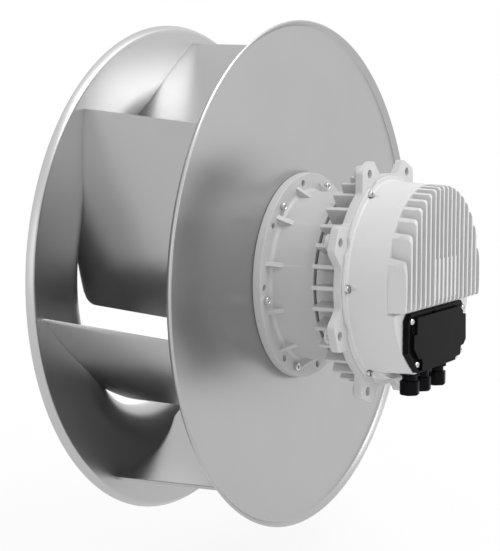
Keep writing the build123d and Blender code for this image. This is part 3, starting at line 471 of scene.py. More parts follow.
def finish(name, colour, roughness, metallic=0.0, spread=0.05, grain=900, depth=0.02,
           stretch=(1, 1, 1), shine=0.5):
    """Material with patchy colour and gloss and a fine grain. Shine is the clear reflection's level."""
    material = bpy.data.materials.new(name)
    material.use_nodes = True
    nodes, link = material.node_tree.nodes, material.node_tree.links.new
    shader = nodes["Principled BSDF"]
    set_inputs(shader, {"Metallic": metallic, "Specular IOR Level": shine})
    where = nodes.new("ShaderNodeTexCoord")
    mapping = nodes.new("ShaderNodeMapping")
    set_inputs(mapping, {"Scale": stretch})
    link(where.outputs["Object"], mapping.inputs["Vector"])

    patches = nodes.new("ShaderNodeTexNoise")
    set_inputs(patches, {"Scale": patch_scale, "Detail": 4.0})
    link(where.outputs["Object"], patches.inputs["Vector"])
    gloss = nodes.new("ShaderNodeMapRange")
    set_inputs(gloss, {"To Min": roughness - spread, "To Max": roughness + spread})
    link(patches.outputs["Fac"], gloss.inputs["Value"])
    link(gloss.outputs["Result"], shader.inputs["Roughness"])

    shade = nodes.new("ShaderNodeMapRange")
    set_inputs(shade, {"To Min": 1 - tint, "To Max": 1 + tint})
    link(patches.outputs["Fac"], shade.inputs["Value"])
    tinted = nodes.new("ShaderNodeVectorMath")
    tinted.operation = "SCALE"
    tinted.inputs[0].default_value = colour
    link(shade.outputs["Result"], tinted.inputs["Scale"])
    link(tinted.outputs["Vector"], shader.inputs["Base Color"])

    fine = nodes.new("ShaderNodeTexNoise")
    set_inputs(fine, {"Scale": grain, "Detail": 3.0})
    link(mapping.outputs["Vector"], fine.inputs["Vector"])
    bump = nodes.new("ShaderNodeBump")
    set_inputs(bump, {"Strength": bump_strength, "Distance": depth * MM})
    link(fine.outputs["Fac"], bump.inputs["Height"])
    link(bump.outputs["Normal"], shader.inputs["Normal"])
    return material


# %% The sheets, the paints and the plastics of this fan
sheet_turn = (1, 1, 0.04)
sheet_roll = (1, 0.04, 1)
rolled = {"metallic": 1.0, "spread": 0.04, "grain": 700, "depth": 0.03}
painted = {"roughness": 0.42, "grain": 1100, "depth": 0.03}
disc_finish = finish("rolled aluminium, disc", (0.455, 0.455, 0.457), 0.30, stretch=sheet_turn, **rolled)
shroud_finish = finish("rolled aluminium, shroud", (0.52, 0.52, 0.522), 0.35, stretch=sheet_turn, **rolled)
blade_finish = finish("rolled aluminium, blades", (0.435, 0.435, 0.437), 0.31, stretch=sheet_roll, **rolled)
weld_finish = finish("weld bead", (0.44, 0.44, 0.442), 0.38, metallic=0.9, spread=0.08, grain=500, depth=0.3)
bell_paint = finish("light grey paint, rotor", (0.49, 0.49, 0.492), **painted)
flange_paint = finish("light grey paint, flange", (0.53, 0.53, 0.532), **painted)
housing_paint = finish("light grey paint, housing", (0.59, 0.59, 0.592), **painted)
cover_plastic = finish(
    "spark-grained black plastic", (0.004, 0.004, 0.004), 0.50,
    spread=0.06, grain=1800, depth=0.05, shine=0.05,
)
gland_plastic = finish("smooth black plastic", (0.002, 0.002, 0.004), 0.42, grain=1500, shine=0.08)
rubber = finish("black rubber", (0.02, 0.02, 0.02), 0.75, grain=1400, depth=0.03)

# %% The metals and the pieces inside
bright_screw = finish("bright plated steel", (0.62, 0.62, 0.61), 0.18, metallic=1.0, grain=1200, depth=0.01)
ground_steel = finish(
    "ground steel", (0.60, 0.61, 0.63), 0.28,
    metallic=1.0, spread=0.06, stretch=(1, 0.05, 1),
)
core_steel = finish(
    "stacked core sheets", (0.20, 0.21, 0.22), 0.50,
    metallic=0.8, spread=0.06, grain=1500, depth=0.10, stretch=(0.05, 1, 0.05),
)
ferrite = finish("sintered ferrite", (0.07, 0.07, 0.075), 0.60, spread=0.06, depth=0.04)
copper = finish(
    "enamelled copper wire", (0.72, 0.30, 0.12), 0.32,
    metallic=0.9, spread=0.06, grain=1300, depth=0.10, stretch=(1, 0.1, 1),
)
wire_red = finish("wire insulation", (0.45, 0.05, 0.03), 0.45)
board_green = finish("lacquered circuit board", (0.02, 0.14, 0.06), 0.35, grain=700, depth=0.03)
can_blue = finish("shrunk capacitor sleeve", (0.03, 0.04, 0.10), 0.30, grain=600)
module_black = finish("moulded module", (0.04, 0.04, 0.04), 0.50, grain=1200, depth=0.03)
print("finishes made:", len(bpy.data.materials))

# %% [markdown]
# ## Back disc and front shroud
#
# Both are one sheet of aluminium, spun on a lathe. The disc is flat up to its rim, which is
# flared towards the motor to stiffen it. The shroud is a flat ring that curves into the round
# inlet. A path turned about the axis and given its wall follows how the sheet itself is spun.

# %% Spin the back disc
disc_low, disc_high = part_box("back_disc")
rim_radius = disc_high.x / MM
sheet = 3.0
sheet_rounding = 0.6
rim_flare = 5.5
rim_bend = 4.0
disc_bore = 100.0
disc_middle = disc_high.y / MM - sheet / 2
disc_path = rounded_path([
    (disc_bore, disc_middle, 0),
    (rim_radius - rim_flare - sheet / 2, disc_middle, rim_bend),
    (rim_radius - sheet / 2, disc_low.y / MM + sheet / 2, 0),
])
disc = soften(thicken(turned("back_disc_sheet", disc_path), sheet), sheet_rounding)
place(disc, "impeller", "disc_sheet", disc_finish, "back_disc")
print("disc radius", round(rim_radius, 1), "mm, faces", len(disc.data.polygons))

# %% Spin the front shroud
_, shroud_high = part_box("front_shroud")
inlet_radius = 192.0
inlet_curve = 63.0
inlet_edge = shroud_high.y / MM
shroud_middle = inlet_edge - inlet_curve
curve_centre = inlet_radius + sheet / 2 + inlet_curve
curve_steps = 24
deeper_rim = 0.6
shroud_rim = shroud_middle + disc_high.y / MM - disc_low.y / MM - sheet + deeper_rim
shroud_path = rounded_path([
    (rim_radius - sheet / 2, shroud_rim, 0),
    (rim_radius - rim_flare - sheet / 2, shroud_middle, rim_bend),
    (curve_centre, shroud_middle, 0),
])
for step in range(1, curve_steps + 1):
    angle = math.radians(270 - 90 * step / curve_steps)
    shroud_path.append((
        curve_centre + inlet_curve * math.cos(angle),
        inlet_edge + inlet_curve * math.sin(angle),
    ))
shroud = soften(thicken(turned("front_shroud_sheet", shroud_path), sheet), sheet_rounding)
place(shroud, "impeller", "shroud_sheet", shroud_finish, "front_shroud")
print("inlet radius", inlet_radius, "mm, faces", len(shroud.data.polygons))

# %% [markdown]
# ## Blades
#
# Seven blades of single curved sheet lean back against the turning, and twist a little between
# the disc and the shroud. A plane bent by a modifier would have no twist, so every point is
# placed: it lies on a straight line between an arc on the disc and an arc near the shroud, and
# stops where it meets the shroud. The front corner is rounded and stands free in the inlet.
# One blade is made, and Geometry Nodes copies it round the axis.

# %% Shape one blade
blade_count = 7
blade_sheet = 4.0
blade_bow = 16.0
blade_root = disc_high.y / MM
blade_nose = 20.0
nose_rounding = 13.0
# Radius and angle of the leading and trailing edges, at the disc and at the tip.
lead_place = ((186.7, 194.9), (189.8, 189.1))
trail_place = ((292.0, 138.9), (303.7, 135.1))
shroud_back = shroud_middle - sheet / 2
blade_tip = shroud_back + blade_nose
sunk = 0.8
halvings = 24


def bowed(start, end, share):
    """Point on the arc between two points that bows outwards by the blade's own bow."""
    start, end = Vector(start), Vector(end)
    chord = end - start
    radius = (chord.length ** 2 / 4 + blade_bow ** 2) / (2 * blade_bow)
    outwards = Vector((-chord.y, chord.x)).normalized()
    centre = (start + end) / 2 - outwards * (radius - blade_bow)
    return centre + (start - centre).slerp(end - centre, share) * radius


def shroud_height(radius):
    """Height at which the shroud's inner face stops a blade at that radius."""
    reach = inlet_curve + sheet / 2
    if radius >= curve_centre:
        return shroud_back + sunk
    if radius <= curve_centre - reach:
        return blade_tip
    return min(blade_tip, inlet_edge - math.sqrt(reach ** 2 - (curve_centre - radius) ** 2) + sunk)


def blade_point(share, rise):
    """Point of the blade at a share of its chord and a share of its width to the shroud."""
    foot = bowed(polar(*lead_place[0]), polar(*trail_place[0]), share)
    head = bowed(polar(*lead_place[1]), polar(*trail_place[1]), share)
    chord = (Vector(polar(*lead_place[0])) - Vector(polar(*trail_place[0]))).length
    top = blade_tip
    into = share * chord
    if into < nose_rounding:
        top = blade_tip - nose_rounding + math.sqrt(nose_rounding ** 2 - (nose_rounding - into) ** 2)
    low, high = 0.0, (top - blade_root) / (blade_tip - blade_root)
    for _ in range(halvings):
        middle = (low + high) / 2
        spot = foot.lerp(head, middle)
        if blade_root + middle * (blade_tip - blade_root) < shroud_height(spot.length):
            low = middle
        else:
            high = middle
    spot = foot.lerp(head, high * rise)
    return spot.x, blade_root + high * rise * (blade_tip - blade_root), spot.y


nose_shares = [0, 0.004, 0.01, 0.018, 0.028, 0.04, 0.055]
plain_span = 0.945
plain_columns = 44
blade_rows = 30


def blade_shape(name):
    """One blade as a sheet of quads, finer at its rounded front corner."""
    steps = range(1, plain_columns + 1)
    shares = nose_shares + [nose_shares[-1] + plain_span * n / plain_columns for n in steps]
    rises = [n / blade_rows for n in range(blade_rows + 1)]
    points = [blade_point(share, rise) for share in shares for rise in rises]
    faces = []
    for column in range(len(shares) - 1):
        for row in range(len(rises) - 1):
            corner = column * len(rises) + row
            faces.append((corner, corner + 1, corner + 1 + len(rises), corner + len(rises)))
    return object_from(name, points, faces)


# %% Copy the blade round the axis
blade_rounding = 0.9
one_blade = soften(thicken(blade_shape("one_blade"), blade_sheet), blade_rounding, segments=3)
on_axis = [(0, 0, 0)] * blade_count
blade_turns = facing_out(round_axis(blade_count))
blades = copies("impeller_blades", one_blade, on_axis, blade_turns, blade_finish)
place(blades, "impeller", "blade_sheet", blade_finish, *[f"blade_{n + 1}" for n in range(blade_count)])

# %% [markdown]
# ## Weld beads
#
# The blades are welded to the disc and to the shroud. A thin bead runs along each joint, which
# softens the corner. A painted line would stay flat, so a tree turns the line of the joint into
# a tube: half of it is in the metal, and the rest is the bead.

# %% Build the tree that runs a bead along a line
bead_sides = 10
bead_crease = 60


def bead_tree():
    """Node tree: a round bead along the edges of a line mesh."""
    inputs = {"Line": "Geometry", "Radius": "Float", "Finish": "Material"}
    tree, source, result = new_tree("bead along a line", inputs, "Bead")
    path = tree.nodes.new("GeometryNodeMeshToCurve")
    ring = tree.nodes.new("GeometryNodeCurvePrimitiveCircle")
    ring.inputs["Resolution"].default_value = bead_sides
    tube = tree.nodes.new("GeometryNodeCurveToMesh")
    tube.inputs["Fill Caps"].default_value = True
    whole = tree.nodes.new("GeometryNodeRealizeInstances")
    coat = tree.nodes.new("GeometryNodeSetMaterial")
    link = tree.links.new
    link(source.outputs["Line"], path.inputs["Mesh"])
    link(source.outputs["Radius"], ring.inputs["Radius"])
    link(path.outputs["Curve"], tube.inputs["Curve"])
    link(ring.outputs["Curve"], tube.inputs["Profile Curve"])
    link(tube.outputs["Mesh"], whole.inputs["Geometry"])
    link(whole.outputs["Geometry"], coat.inputs["Geometry"])
    link(source.outputs["Finish"], coat.inputs["Material"])
    link(coat.outputs["Geometry"], result.inputs["Bead"])
    return tree


bead_along_line = bead_tree()


def bead(name, lines, radius, material):
    """Beads of a radius in millimetres along lines of points in millimetres."""
    points, edges = [], []
    for line in lines:
        start = len(points)
        points += [Vector(point) * MM for point in line]
        edges += [(start + n, start + n + 1) for n in range(len(line) - 1)]
    mesh = bpy.data.meshes.new(name)
    mesh.from_pydata(points, edges, [])
    carrier = new_object(name, mesh)
    run_tree(carrier, bead_along_line, {"Radius": radius * MM, "Finish": material})
    return settle(carrier, bead_crease)


# %% Run the beads along both edges of one blade, and copy them
weld_radius = 1.6
weld_start = 0.03
weld_span = 0.95
weld_steps = 30
tip_weld_start = 0.06
weld_shares = [weld_start + weld_span * n / weld_steps for n in range(weld_steps + 1)]
root_line = [blade_point(share, 0.0) for share in weld_shares]
tip_line = [blade_point(share, 1.0) for share in weld_shares if share > tip_weld_start]
one_weld = bead("one_weld", [root_line, tip_line], weld_radius, weld_finish)
welds = copies("weld_beads", one_weld, on_axis, blade_turns, weld_finish)
place(welds, "impeller", "blade_sheet", weld_finish)

# %% [markdown]
# ## Rotor bell
#
# The outside of the motor turns. Its bell is a painted casting with a flange for the impeller
# and twelve small gussets between the two. A turned path would leave out the gussets, so the
# bell is taken from its CAD solid, and its edges are rounded as a casting's are.

# %% Cast the rotor bell
bell = casting("rotor_bell_casting", "rotor_bell", rounding=0.8, segments=3)
place(bell, "impeller", "rotor_paint", bell_paint, "rotor_bell")

# %% [markdown]
# ## Socket screws
#
# Six screws hold the impeller on the rotor, and six hold the electronics housing. Each has a
# knurled round head with a hexagon socket. A socket could be cut from a cylinder, but cuts leave
# long thin faces. The head is built ring by ring, so that its socket is a clean, real recess.

# %% Make one socket screw
def ring_of(sides, radius, y):
    """Points of a regular ring at a height on the fan axis."""
    return on_circle(radius, y, round_axis(sides))


def hexagon_ring(sides, across, y):
    """Points round a hexagon of a width across flats, as many as on a ring of that many sides."""
    points = []
    for angle in round_axis(sides):
        reach = across / 2 / math.cos(math.radians((angle + 30) % 60 - 30))
        points += on_circle(reach, y, [angle])
    return points


def stack(name, rings, open_ends=False):
    """Shell through rings of equally many points, closed at both ends unless they stay open."""
    sides = len(rings[0])
    points = [point for ring in rings for point in ring]
    faces = []
    for level in range(len(rings) - 1):
        for side in range(sides):
            following = (side + 1) % sides
            low, high = level * sides, (level + 1) * sides
            faces.append((low + side, low + following, high + following, high + side))
    if not open_ends:
        faces.append(tuple(range(sides)))
        faces.append(tuple(len(points) - sides + side for side in range(sides)))
    return object_from(name, points, faces)


screw_sides = 48
screw_crease = 28


def socket_screw(name, head_radius, head_height, socket, shank_radius, shank):
    """Cap screw along the fan axis: head towards -Y, its seat at height 0."""
    rim = 0.12 * head_radius
    knurl = 0.03 * head_radius
    socket_chamfer = 0.3
    socket_floor = -head_height * 0.45
    knurled = []
    for side in range(screw_sides):
        reach = head_radius - (knurl if side % 2 else 0)
        knurled.append(polar(reach, side * 360 / screw_sides))
    rings = [
        ring_of(screw_sides, shank_radius, shank),
        ring_of(screw_sides, shank_radius, 0),
        [(x, 0, z) for x, z in knurled],
        [(x, -head_height + 1.6 * rim, z) for x, z in knurled],
        ring_of(screw_sides, head_radius * 0.985, -head_height + rim),
        ring_of(screw_sides, head_radius - rim, -head_height),
        hexagon_ring(screw_sides, socket * 1.1, -head_height),
        hexagon_ring(screw_sides, socket, -head_height + socket_chamfer),
        hexagon_ring(screw_sides, socket, socket_floor),
    ]
    return settle(stack(name, rings), screw_crease)


# %% Set the impeller screws
bolt_circle = 120.5
screw_angles = round_axis(6, 10)
screw_low, screw_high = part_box("impeller_screws")
screw_head = 5.0
screw_seat = screw_low.y / MM + screw_head
one_screw = socket_screw(
    "one_screw",
    head_radius=5.0,
    head_height=screw_head,
    socket=5.0,
    shank_radius=3.0,
    shank=screw_high.y / MM - screw_seat,
)
spots = on_circle(bolt_circle, screw_seat, screw_angles)
screws = copies("impeller_screw_set", one_screw, spots, facing_out(screw_angles), bright_screw)
place(screws, "impeller", "screw_chrome", bright_screw, "impeller_screws")

# %% Set their nuts on the inlet side of the disc
nut_low, nut_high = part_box("impeller_nuts")
nut_height = (nut_high.y - nut_low.y) / MM
nut_across = 10.0
nut_hole = 3.2
nut_chamfer = 0.6
nut_rings = [
    hexagon_ring(screw_sides, 2 * nut_hole, 0),
    hexagon_ring(screw_sides, nut_across * 0.93, 0),
    hexagon_ring(screw_sides, nut_across, nut_chamfer),
    hexagon_ring(screw_sides, nut_across, nut_height - nut_chamfer),
    ring_of(screw_sides, nut_across * 0.46, nut_height),
    ring_of(screw_sides, nut_hole, nut_height),
]
one_nut = settle(stack("one_nut", nut_rings), screw_crease)
spots = on_circle(bolt_circle, nut_low.y / MM, screw_angles)
nuts = copies("impeller_nut_set", one_nut, spots, facing_out(screw_angles), bright_screw)
place(nuts, "impeller", "screw_chrome", bright_screw, "impeller_nuts")

# %% [markdown]
# ## Motor flange and electronics housing
#
# The motor flange carries the fan: eight drilled lugs, 32 cooling fins and, inside, the tube
# for the bearings. The housing behind it is one casting with the heat sink. Both are taken from
# their CAD solids, because their outlines are cut by planes and circles that must stay exact.
# Six fins of the heat sink carry a wide pad. In the photograph the ends of the pads sit a little
# higher than in the solid, so those corners are moved before the edges are rounded.

# %% Shift the ends of the wide pads on the heat sink's fins
# Height of each end in the solid, and how far it moves up.
pad_end_rises = {18.0: 13.0, -22.0: 4.0}
pad_half_width = 40.0
pad_front = -70.0
same_height = 0.01


def shift_pads(shape):
    """Moves the pads' upper and lower ends up the fins, to where they are in the photo."""
    for height, rise in pad_end_rises.items():
        ends = [
            corner for corner in shape.verts
            if abs(corner.co.z - height * MM) < same_height * MM
            and abs(corner.co.x) < pad_half_width * MM
            and corner.co.y < pad_front * MM
        ]
        for corner in ends:
            corner.co.z += rise * MM
        print("pad corners moved from a height of", height, "mm:", len(ends))


# %% Cast the motor flange and the housing
flange = casting("motor_flange_casting", "motor_flange", rounding=0.7)
place(flange, "motor", "stator_paint", flange_paint, "motor_flange")
housing = casting("electronics_housing_casting", "electronics_housing", rounding=0.6, reshape=shift_pads)
place(housing, "motor", "housing_paint", housing_paint, "electronics_housing")

# %% Set the housing screws
housing_circle = 126.0
housing_angles = round_axis(6)
housing_screw_low, housing_screw_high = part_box("housing_screws")
housing_screw_head = 4.0
housing_seat = housing_screw_low.y / MM + housing_screw_head
one_screw = socket_screw(
    "one_housing_screw",
    head_radius=4.2,
    head_height=housing_screw_head,
    socket=4.0,
    shank_radius=2.5,
    shank=housing_screw_high.y / MM - housing_seat,
)
spots = on_circle(housing_circle, housing_seat, housing_angles)
housing_screws = copies("housing_screw_set", one_screw, spots, facing_out(housing_angles), bright_screw)
place(housing_screws, "motor", "screw_chrome", bright_screw, "housing_screws")

# %% [markdown]
# ## Terminal cover and its screws
#
# The cover is a black moulding with a low rim and a raised panel. Like the castings it is taken
# from its CAD solid. Its four screws have round heads with a cross recess, stacked from rings as
# the socket screws are, and stand on the cover's floor beside the panel.

# %% Mould the cover
cover = casting("terminal_cover_moulding", "terminal_cover", rounding=0.5, segments=3)
place(cover, "motor", "cover_plastic", cover_plastic, "terminal_cover")


# %% Make one cross-recess screw and set the four
def cross_ring(sides, radius, y, arm_half):
    """Points round a cross whose arms are as wide as twice the half."""
    points = []
    for angle in round_axis(sides):
        near = abs((angle + 45) % 90 - 45)
        reach = radius
        if math.sin(math.radians(near)) * radius > arm_half:
            reach = arm_half / math.sin(math.radians(max(near, 1)))
        points += on_circle(reach, y, [angle])
    return points


cross_sides = 64
cross_crease = 30
cover_screw_low, cover_screw_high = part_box("cover_screws")
dome_height = 3.8
dome_radius = 4.3
thread_radius = 2.0
slot_half = 0.75
slot_floor_half = 0.55
cover_seat = cover_screw_low.y / MM + dome_height
dome_rings = [
    ring_of(cross_sides, thread_radius, cover_screw_high.y / MM - cover_seat),
    ring_of(cross_sides, thread_radius, 0),
    ring_of(cross_sides, dome_radius, 0),
    ring_of(cross_sides, dome_radius, -dome_height * 0.35),
    ring_of(cross_sides, dome_radius * 0.9, -dome_height * 0.75),
    ring_of(cross_sides, dome_radius * 0.66, -dome_height),
    cross_ring(cross_sides, dome_radius * 0.58, -dome_height, slot_half),
    cross_ring(cross_sides, dome_radius * 0.40, -dome_height * 0.45, slot_floor_half),
]
one_screw = settle(stack("one_cover_screw", dome_rings), cross_crease)
cover_screw_places = ((-77.0, -39.8), (85.0, -40.5), (-61.0, -93.5), (77.5, -94.5))
spots = [(x, cover_seat, z) for x, z in cover_screw_places]
turns = [(0, 20, 0), (0, 55, 0), (0, -15, 0), (0, 35, 0)]
cover_screws = copies("cover_screw_set", one_screw, spots, turns, bright_screw)
place(cover_screws, "motor", "screw_chrome", bright_screw, "cover_screws")

# %% [markdown]
# ## Cable glands
#
# Three glands point down from the housing. Each has a hexagon on its body, a neck, and a cap nut
# with flats that squeezes a rubber insert. They are turned shapes about their own upright axis,
# and the tree for copies sets them in their row. Each body stands at its own turn, as its thread
# left it. The nuts are stacked from rings that hold both their flats and their rounded foot.

# %% Turn a shape about an upright axis
def upright(name, path, sides=64):
    """Closed surface of (radius, height) pairs about the Z axis."""
    points = []
    for side in range(sides):
        angle = 2 * math.pi * side / sides
        points += [(r * math.cos(angle), r * math.sin(angle), z) for r, z in path]
    return object_from(name, points, swept_faces(sides, len(path), closed=True))


# %% Sizes of the glands
gland_xs = (-19.0, 17.0, 65.0)
gland_y = -39.5
gland_spots = [(x, gland_y, 0) for x in gland_xs]
body_low, body_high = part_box("gland_bodies")
nuts_low, nuts_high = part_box("gland_nuts")
nut_top = nuts_high.z / MM
nut_foot = nuts_low.z / MM
belly = -107.0
hex_top = belly - 1.5
hex_foot = hex_top - 6.5
neck_radius = 9.4
bore = 7.7
cable_bore = 5.5
print("gland nuts from", round(nut_foot, 1), "to", round(nut_top, 1), "mm")


# %% Draw the rings of a cap nut
cap_sides = 72
cap_across = 23.4
cap_corner = 6.0
cap_turn = 42.0


def cap_ring(inset, z):
    """Ring of the cap nut: a hexagon with rounded corners, smaller by the inset."""
    flat = cap_across / 2
    corner = (flat - cap_corner) / math.cos(math.radians(30))
    points = []
    for angle in round_axis(cap_sides, cap_turn):
        off_flat = math.radians((angle - cap_turn + 30) % 60 - 30)
        reach = flat / math.cos(off_flat)
        if flat * math.tan(abs(off_flat)) > corner * math.sin(math.radians(30)):
            swing = math.radians(30) - abs(off_flat)
            reach = corner * math.cos(swing) + math.sqrt(cap_corner ** 2 - (corner * math.sin(swing)) ** 2)
        points.append((*polar(reach - inset, angle), z))
    return points


def plain_ring(radius, z):
    """Round ring that starts where the cap nut's rings start."""
    return [(*polar(radius, angle), z) for angle in round_axis(cap_sides, cap_turn)]


# %% Stack the cap nut's rings and set the three nuts
cap_round = 2.5
cap_round_steps = 6
cap_chamfer = 0.6
cap_inside = neck_radius + 0.1
mouth_edge = cable_bore + 1.7
mouth = cable_bore + 1.1
floor_height = 3.0
cap_rings = [plain_ring(cap_inside, nut_foot + floor_height), plain_ring(cap_inside, nut_top)]
cap_rings += [cap_ring(cap_chamfer, nut_top), cap_ring(0.0, nut_top - cap_chamfer)]
for step in range(cap_round_steps + 1):
    angle = math.radians(90 * step / cap_round_steps)
    inset = cap_round * (1 - math.cos(angle))
    cap_rings.append(cap_ring(inset, nut_foot + cap_round * (1 - math.sin(angle))))
cap_rings += [plain_ring(mouth_edge, nut_foot), plain_ring(mouth, nut_foot + cap_chamfer)]
cap_rings += [plain_ring(mouth, nut_foot + floor_height), cap_rings[0]]
one_nut = settle(stack("one_cap_nut", cap_rings, open_ends=True))
nut_turns = [(0, 0, 0)] * len(gland_spots)
gland_nuts = copies("gland_nut_set", one_nut, gland_spots, nut_turns, gland_plastic)
place(gland_nuts, "motor", "gland_plastic", gland_plastic, "gland_nuts")

# %% Turn the gland body, join its hexagon and set the three bodies
collar_radius = 10.0
collar_foot = hex_foot + 3.0
body_path = rounded_path([
    (cable_bore, body_high.z / MM, 0.3),
    (collar_radius, body_high.z / MM, 0.8),
    (collar_radius, collar_foot, 0),
    (neck_radius, collar_foot, 0),
    (neck_radius, body_low.z / MM, 0.4),
    (bore, body_low.z / MM, 0.3),
    (bore, hex_foot, 0),
    (cable_bore, hex_foot, 0),
])
one_body = upright("one_gland_body", body_path)
hex_sides = 48
hex_across = 23.0
hex_end = 0.94
hex_chamfer = 0.8
hex_outline = (
    (hex_end, hex_top),
    (1.0, hex_top - hex_chamfer),
    (1.0, hex_foot + hex_chamfer),
    (hex_end, hex_foot),
)
hex_rings = []
for radius_share, z in hex_outline:
    hex_rings.append([(x, y, z) for x, _, y in hexagon_ring(hex_sides, hex_across * radius_share, 0)])
one_hexagon = stack("one_hexagon", hex_rings)
join = one_body.modifiers.new("hexagon", "BOOLEAN")
join.operation = "UNION"
join.object = one_hexagon
settle(one_body)
bpy.data.objects.remove(one_hexagon)
body_turns = [(0, 0, 10), (0, 0, 25), (0, 0, 5)]
gland_bodies = copies("gland_body_set", one_body, gland_spots, body_turns, gland_plastic)
place(gland_bodies, "motor", "gland_plastic", gland_plastic, "gland_bodies")

# %% [markdown]
# ## The pieces inside
#
# Bearings, windings, magnets, circuit board and seals stay as their CAD solids, because they
# have the right shape and are seen only through gaps. Each still gets its own finish.

# %% Give the CAD nodes their finishes
inner_finishes = {
    core_steel: ("stator_core", "rotor_iron_ring"),
    ferrite: ("rotor_magnets",),
    copper: ("stator_coils", "choke"),
    ground_steel: (
        "rotor_shaft", "shaft_circlip", "bearing_sleeve", "preload_washer",
        "rear_bearing_outer_ring", "rear_bearing_inner_ring", "rear_bearing_balls", "rear_bearing_cage",
        "front_bearing_outer_ring", "front_bearing_inner_ring", "front_bearing_balls", "front_bearing_cage",
    ),
    bright_screw: ("board_screws",),
    rubber: ("housing_seal", "cover_gasket", "gland_seals", "gland_inserts", "lead_grommet"),
    gland_plastic: ("gland_locknuts",),
    wire_red: ("motor_leads",),
    board_green: ("circuit_board",),
    can_blue: ("capacitors",),
    module_black: ("power_module", "terminal_block"),
}
for material, names in inner_finishes.items():
    for name in names:
        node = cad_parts[name]
        node.data.materials.clear()
        node.data.materials.append(material)
print("nodes finished:", sum(len(names) for names in inner_finishes.values()))

# %% [markdown]
# ## Camera, floor and light
#
# The camera stands where the photograph's stood: to the left of the motor's side, a little above
# the axis. The backdrop is white, and the lamps are large and soft. Bare metal is as bright as
# what it reflects, so reflections see the white backdrop too, while the paint is lit by the
# lamps and by a dimmer studio. The floor glows white like the backdrop. Near the fan a tenth of
# it is lit paper instead, which shows a faint shadow.

# %% Place the camera
camera_azimuth = math.radians(-60.0)
camera_elevation = math.radians(5.9)
camera_distance = 1848.3
camera_focal = 1432.0
image_height = 551
sensor_height = 36.0
shift_right = 75.8
shift_up = 0.7
target = Vector((0, 111.7, 0))
back = Vector((
    math.sin(camera_azimuth) * math.cos(camera_elevation),
    -math.cos(camera_azimuth) * math.cos(camera_elevation),
    math.sin(camera_elevation),
))
right = Vector((math.cos(camera_azimuth), math.sin(camera_azimuth), 0))
up = back.cross(right)
camera_data = bpy.data.cameras.new("camera")
camera_data.sensor_fit = "VERTICAL"
camera_data.sensor_height = sensor_height
camera_data.lens = camera_focal * sensor_height / image_height
camera_data.clip_end = 50
camera = bpy.data.objects.new("camera", camera_data)
bpy.context.scene.collection.objects.link(camera)
camera.location = (target + back * camera_distance - right * shift_right - up * shift_up) * MM
camera.rotation_euler = Euler((math.pi / 2 - camera_elevation, 0, camera_azimuth))
bpy.context.scene.camera = camera
print("camera at", [round(value, 3) for value in camera.location])

# %% Tell the rays that see a white backdrop from those that carry light
def sees_white(nodes, link):
    """Socket that is 1 for rays from the camera, through glass or off a glossy surface."""
    ray = nodes.new("ShaderNodeLightPath")
    clear = nodes.new("ShaderNodeMath")
    clear.operation = "MAXIMUM"
    any_of_them = nodes.new("ShaderNodeMath")
    any_of_them.operation = "MAXIMUM"
    link(ray.outputs["Is Camera Ray"], clear.inputs[0])
    link(ray.outputs["Is Transmission Ray"], clear.inputs[1])
    link(clear.outputs["Value"], any_of_them.inputs[0])
    link(ray.outputs["Is Glossy Ray"], any_of_them.inputs[1])
    return any_of_them.outputs["Value"]


# %% Lay the floor
floor_drop = 60.0
floor_half = 6000.0
floor_z = cad_low.z / MM - floor_drop
floor = object_from("floor", [
    (-floor_half, -floor_half, floor_z),
    (floor_half, -floor_half, floor_z),
    (floor_half, floor_half, floor_z),
    (-floor_half, floor_half, floor_z),
], [(0, 1, 2, 3)])
print("floor at", round(floor_z, 1), "mm")

# %% Make the floor white, with a faint shadow near the fan
fade_start = 0.6
fade_end = 1.6
white_near = 0.9
white_far = 1.0
backdrop_light = 1.0
floor_finish = bpy.data.materials.new("white floor")
floor_finish.use_nodes = True
floor_nodes = floor_finish.node_tree.nodes
floor_link = floor_finish.node_tree.links.new
paper = floor_nodes["Principled BSDF"]
set_inputs(paper, {"Base Color": (0.8, 0.8, 0.8, 1), "Roughness": 0.9})
glow = floor_nodes.new("ShaderNodeEmission")
set_inputs(glow, {"Strength": backdrop_light})
where = floor_nodes.new("ShaderNodeTexCoord")
away = floor_nodes.new("ShaderNodeVectorMath")
away.operation = "LENGTH"
fade = floor_nodes.new("ShaderNodeMapRange")
fade.interpolation_type = "SMOOTHSTEP"
set_inputs(fade, {"From Min": fade_start, "From Max": fade_end})
set_inputs(fade, {"To Min": white_near, "To Max": white_far})
share = floor_nodes.new("ShaderNodeMath")
share.operation = "MULTIPLY"
both = floor_nodes.new("ShaderNodeMixShader")
floor_link(where.outputs["Object"], away.inputs[0])
floor_link(away.outputs["Value"], fade.inputs["Value"])
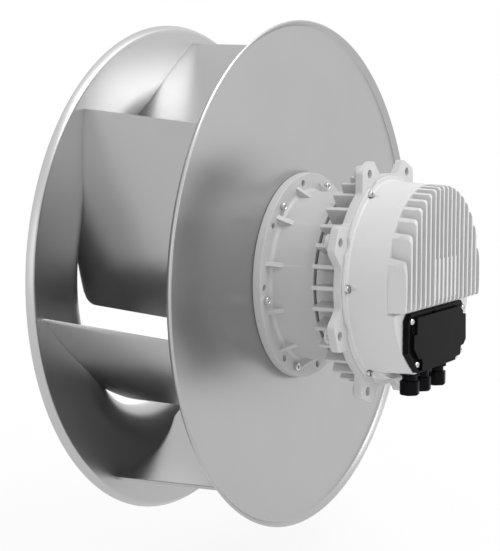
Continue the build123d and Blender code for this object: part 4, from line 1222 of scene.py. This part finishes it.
floor_link(fade.outputs["Result"], share.inputs[1])
floor_link(sees_white(floor_nodes, floor_link), share.inputs[0])
floor_link(share.outputs["Value"], both.inputs[0])
floor_link(paper.outputs["BSDF"], both.inputs[1])
floor_link(glow.outputs["Emission"], both.inputs[2])
floor_link(both.outputs["Shader"], floor_nodes["Material Output"].inputs["Surface"])
floor.data.materials.append(floor_finish)


# %% Hang the lamps
lamp_size = 1300
lamp_distance = 2600
lamp_aim = (0, 60, 0)


def lamp(name, azimuth, elevation, power):
    """Square soft lamp that shines on the motor from an azimuth and an elevation in degrees."""
    data = bpy.data.lights.new(name, "AREA")
    data.size = lamp_size * MM
    data.energy = power
    light = bpy.data.objects.new(name, data)
    bpy.context.scene.collection.objects.link(light)
    side, rise = math.radians(azimuth), math.radians(elevation)
    way = Vector((math.sin(side) * math.cos(rise), -math.cos(side) * math.cos(rise), math.sin(rise)))
    light.location = (Vector(lamp_aim) + way * lamp_distance) * MM
    light.rotation_euler = (-way).to_track_quat("-Z", "Y").to_euler()


lamp("high in front of the motor", 0, 62, 33)
lamp("front, low", 20, 12, 8)
lamp("left, low", -60, 10, 4.5)
lamp("right, high", 60, 62, 4)
lamp("right, low behind", 140, 10, 2.6)
print("lamps hung:", len(bpy.data.lights))

# %% Light the studio and its white backdrop
studio_light = 0.85
world = bpy.data.worlds.new("white studio")
bpy.context.scene.world = world
world.use_nodes = True
world_nodes = world.node_tree.nodes
world_link = world.node_tree.links.new
studio = world_nodes["Background"]
set_inputs(studio, {"Color": (1, 1, 1, 1), "Strength": studio_light})
white = world_nodes.new("ShaderNodeBackground")
set_inputs(white, {"Color": (1, 1, 1, 1), "Strength": backdrop_light})
choose = world_nodes.new("ShaderNodeMixShader")
world_link(sees_white(world_nodes, world_link), choose.inputs[0])
world_link(studio.outputs["Background"], choose.inputs[1])
world_link(white.outputs["Background"], choose.inputs[2])
world_link(choose.outputs["Shader"], world_nodes["World Output"].inputs["Surface"])
bpy.context.scene.view_settings.view_transform = "Standard"
